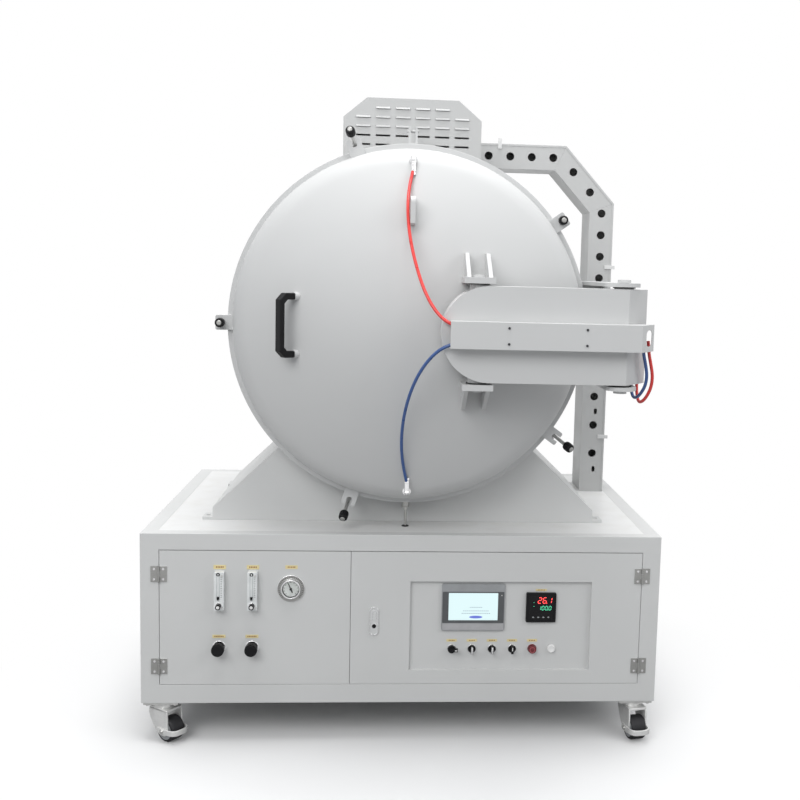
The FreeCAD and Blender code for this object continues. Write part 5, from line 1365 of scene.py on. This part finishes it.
def make_collars():
    """Crimped collars where the front hoses leave their elbows."""
    profile = [(5.2, 0), (8.6, 0), (8.6, 7), (7.4, 8), (7.4, 10), (8.6, 11), (8.6, 18), (5.2, 18)]
    outline = softened(profile, 0.6)
    for name, side in (("red", 1), ("blue", -1)):
        turned(name + "_collar", outline, on_axis(0, -60, side * 492), 48, "chamber_door", "chrome_trim",
               CHROME, Matrix.Rotation(-side * math.pi / 2, 4, "X"))


make_collars()
# A rubber grommet sits in the table, where the water line goes down into the cabinet.
turned("line_grommet", softened([(5, 0.2), (12, 0.2), (12, 2.0), (8, 3.4), (5, 3.4)], 0.5),
       on_front(0, 122, 0), 48, "furnace", "seal_rubber", RUBBER, UPRIGHT)
print("hose collars and a grommet")

# %% [markdown]
# ## Casters
# The casters stand as they were left after the last move, each turned its own way. A pressed fork holds
# the wheel between two cheeks, and a hoop round the wheel works the brake. The hoop is a flat band bent
# round the wheel, so it is swept along a rounded path and not cut from a block.

# %% Caster forks and hubs
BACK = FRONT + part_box("cabinet_frame")[1].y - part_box("cabinet_frame")[0].y
CASTERS = ((-1, 0, -37), (1, 0, -78), (-1, 1, 60), (1, 1, 105))
CASTER_X = 0.787
CASTER_INSET = 0.052
AXLE = mm(32, 0, 40)
CHEEK = 6


def disc(bm, radius, low, high, sides, matrix):
    """A round or hexagonal disc along local Z, in millimetres."""
    turn = matrix @ Matrix.Translation(mm(0, 0, (low + high) / 2))
    bmesh.ops.create_cone(bm, cap_ends=True, segments=sides, radius1=mm(radius), radius2=mm(radius),
                          depth=mm(high - low), matrix=turn)


def hoop_points(reach, half_width):
    """Half of a rounded band round the wheel's front, from one leg to the other."""
    points = [(8, -half_width)]
    for i in range(33):
        t = math.radians(-90 + 180 * i / 32)
        across, along = math.sin(t), math.cos(t)
        points.append((44 + reach * abs(along) ** (2 / 3),
                       math.copysign(half_width * abs(across) ** (2 / 3), across)))
    points.append((8, half_width))
    return points


def placed(name, bm, place, body, material, smooth=40):
    """A piece of a caster, moved from the caster's own place to where it stands."""
    bmesh.ops.transform(bm, matrix=place, verts=bm.verts)
    return add_piece(name, mesh_from(name, bm), body, "bright_steel", material, smooth)


def make_fork(number, side, rear, yaw):
    """Swivel ring, crown, cheeks, axle nuts and brake hoop of one caster, and the wheel's hubs."""
    y = BACK - CASTER_INSET if rear else FRONT + CASTER_INSET
    place = Matrix.Translation((side * CASTER_X, y, 0)) @ Matrix.Rotation(math.radians(yaw), 4, "Z")
    body = "caster_fork_%d" % number
    bm = bmesh.new()
    disc(bm, 34, 112, 123.6, 48, Matrix.Identity(4))
    slab(bm, mm(-34, -33, 104), mm(50, 33, 112.5))
    cheek = softened([(-34, 111), (-37, 88), (-16, 52), (14, 23), (44, 23), (54, 46), (50, 111)], 8)
    for inner in (27, -33):
        prism(bm, [mm(x, inner, z) for x, z in cheek], [mm(x, inner + CHEEK, z) for x, z in cheek])
    fork = placed(body + "_body", bm, place, body, ZINC, 35)
    edged(fork, 1.6, 3)
    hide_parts(body)

    bm = bmesh.new()
    levels = ((39, 33.3, 32), (44, 38.3, 32), (44, 38.3, 50), (39, 33.3, 50))
    rings = [[bm.verts.new(mm(px, py, z)) for px, py in hoop_points(reach, half_width)]
             for reach, half_width, z in levels]
    band(bm, rings, closed=False)
    for end in (0, -1):
        bm.faces.new([ring[end] for ring in rings])
    edged(placed(body + "_hoop", bm, place, body, ZINC, 35), 1.4, 3)

    bm = bmesh.new()
    for turn in (-90, 90):
        axle = Matrix.Translation(AXLE) @ Matrix.Rotation(math.radians(turn), 4, "X")
        disc(bm, 11.5, 33, 34.6, 32, axle)
        disc(bm, 8.8, 34.6, 41, 6, axle)
        disc(bm, 5, 41, 44, 24, axle)
    edged(placed(body + "_nuts", bm, place, body, STEEL), 0.5)

    wheel = "caster_wheel_%d" % number
    profile = ((7, 25.9), (23, 25.9), (30.6, 25.9), (30.6, 26.5), (24, 26.5), (22, 26.1), (12, 26.1),
               (10, 26.6), (7, 26.6))
    for face, word in ((-1, "inner"), (1, "outer")):
        outline = [(radius, face * reach) for radius, reach in profile]
        turned("%s_hub_%s" % (wheel, word), outline, Vector(), 64, wheel, "tread", SATIN_GREY,
               place @ Matrix.Translation(AXLE))


for number, (side, rear, yaw) in enumerate(CASTERS, 1):
    make_fork(number, side, rear, yaw)
print("4 casters")
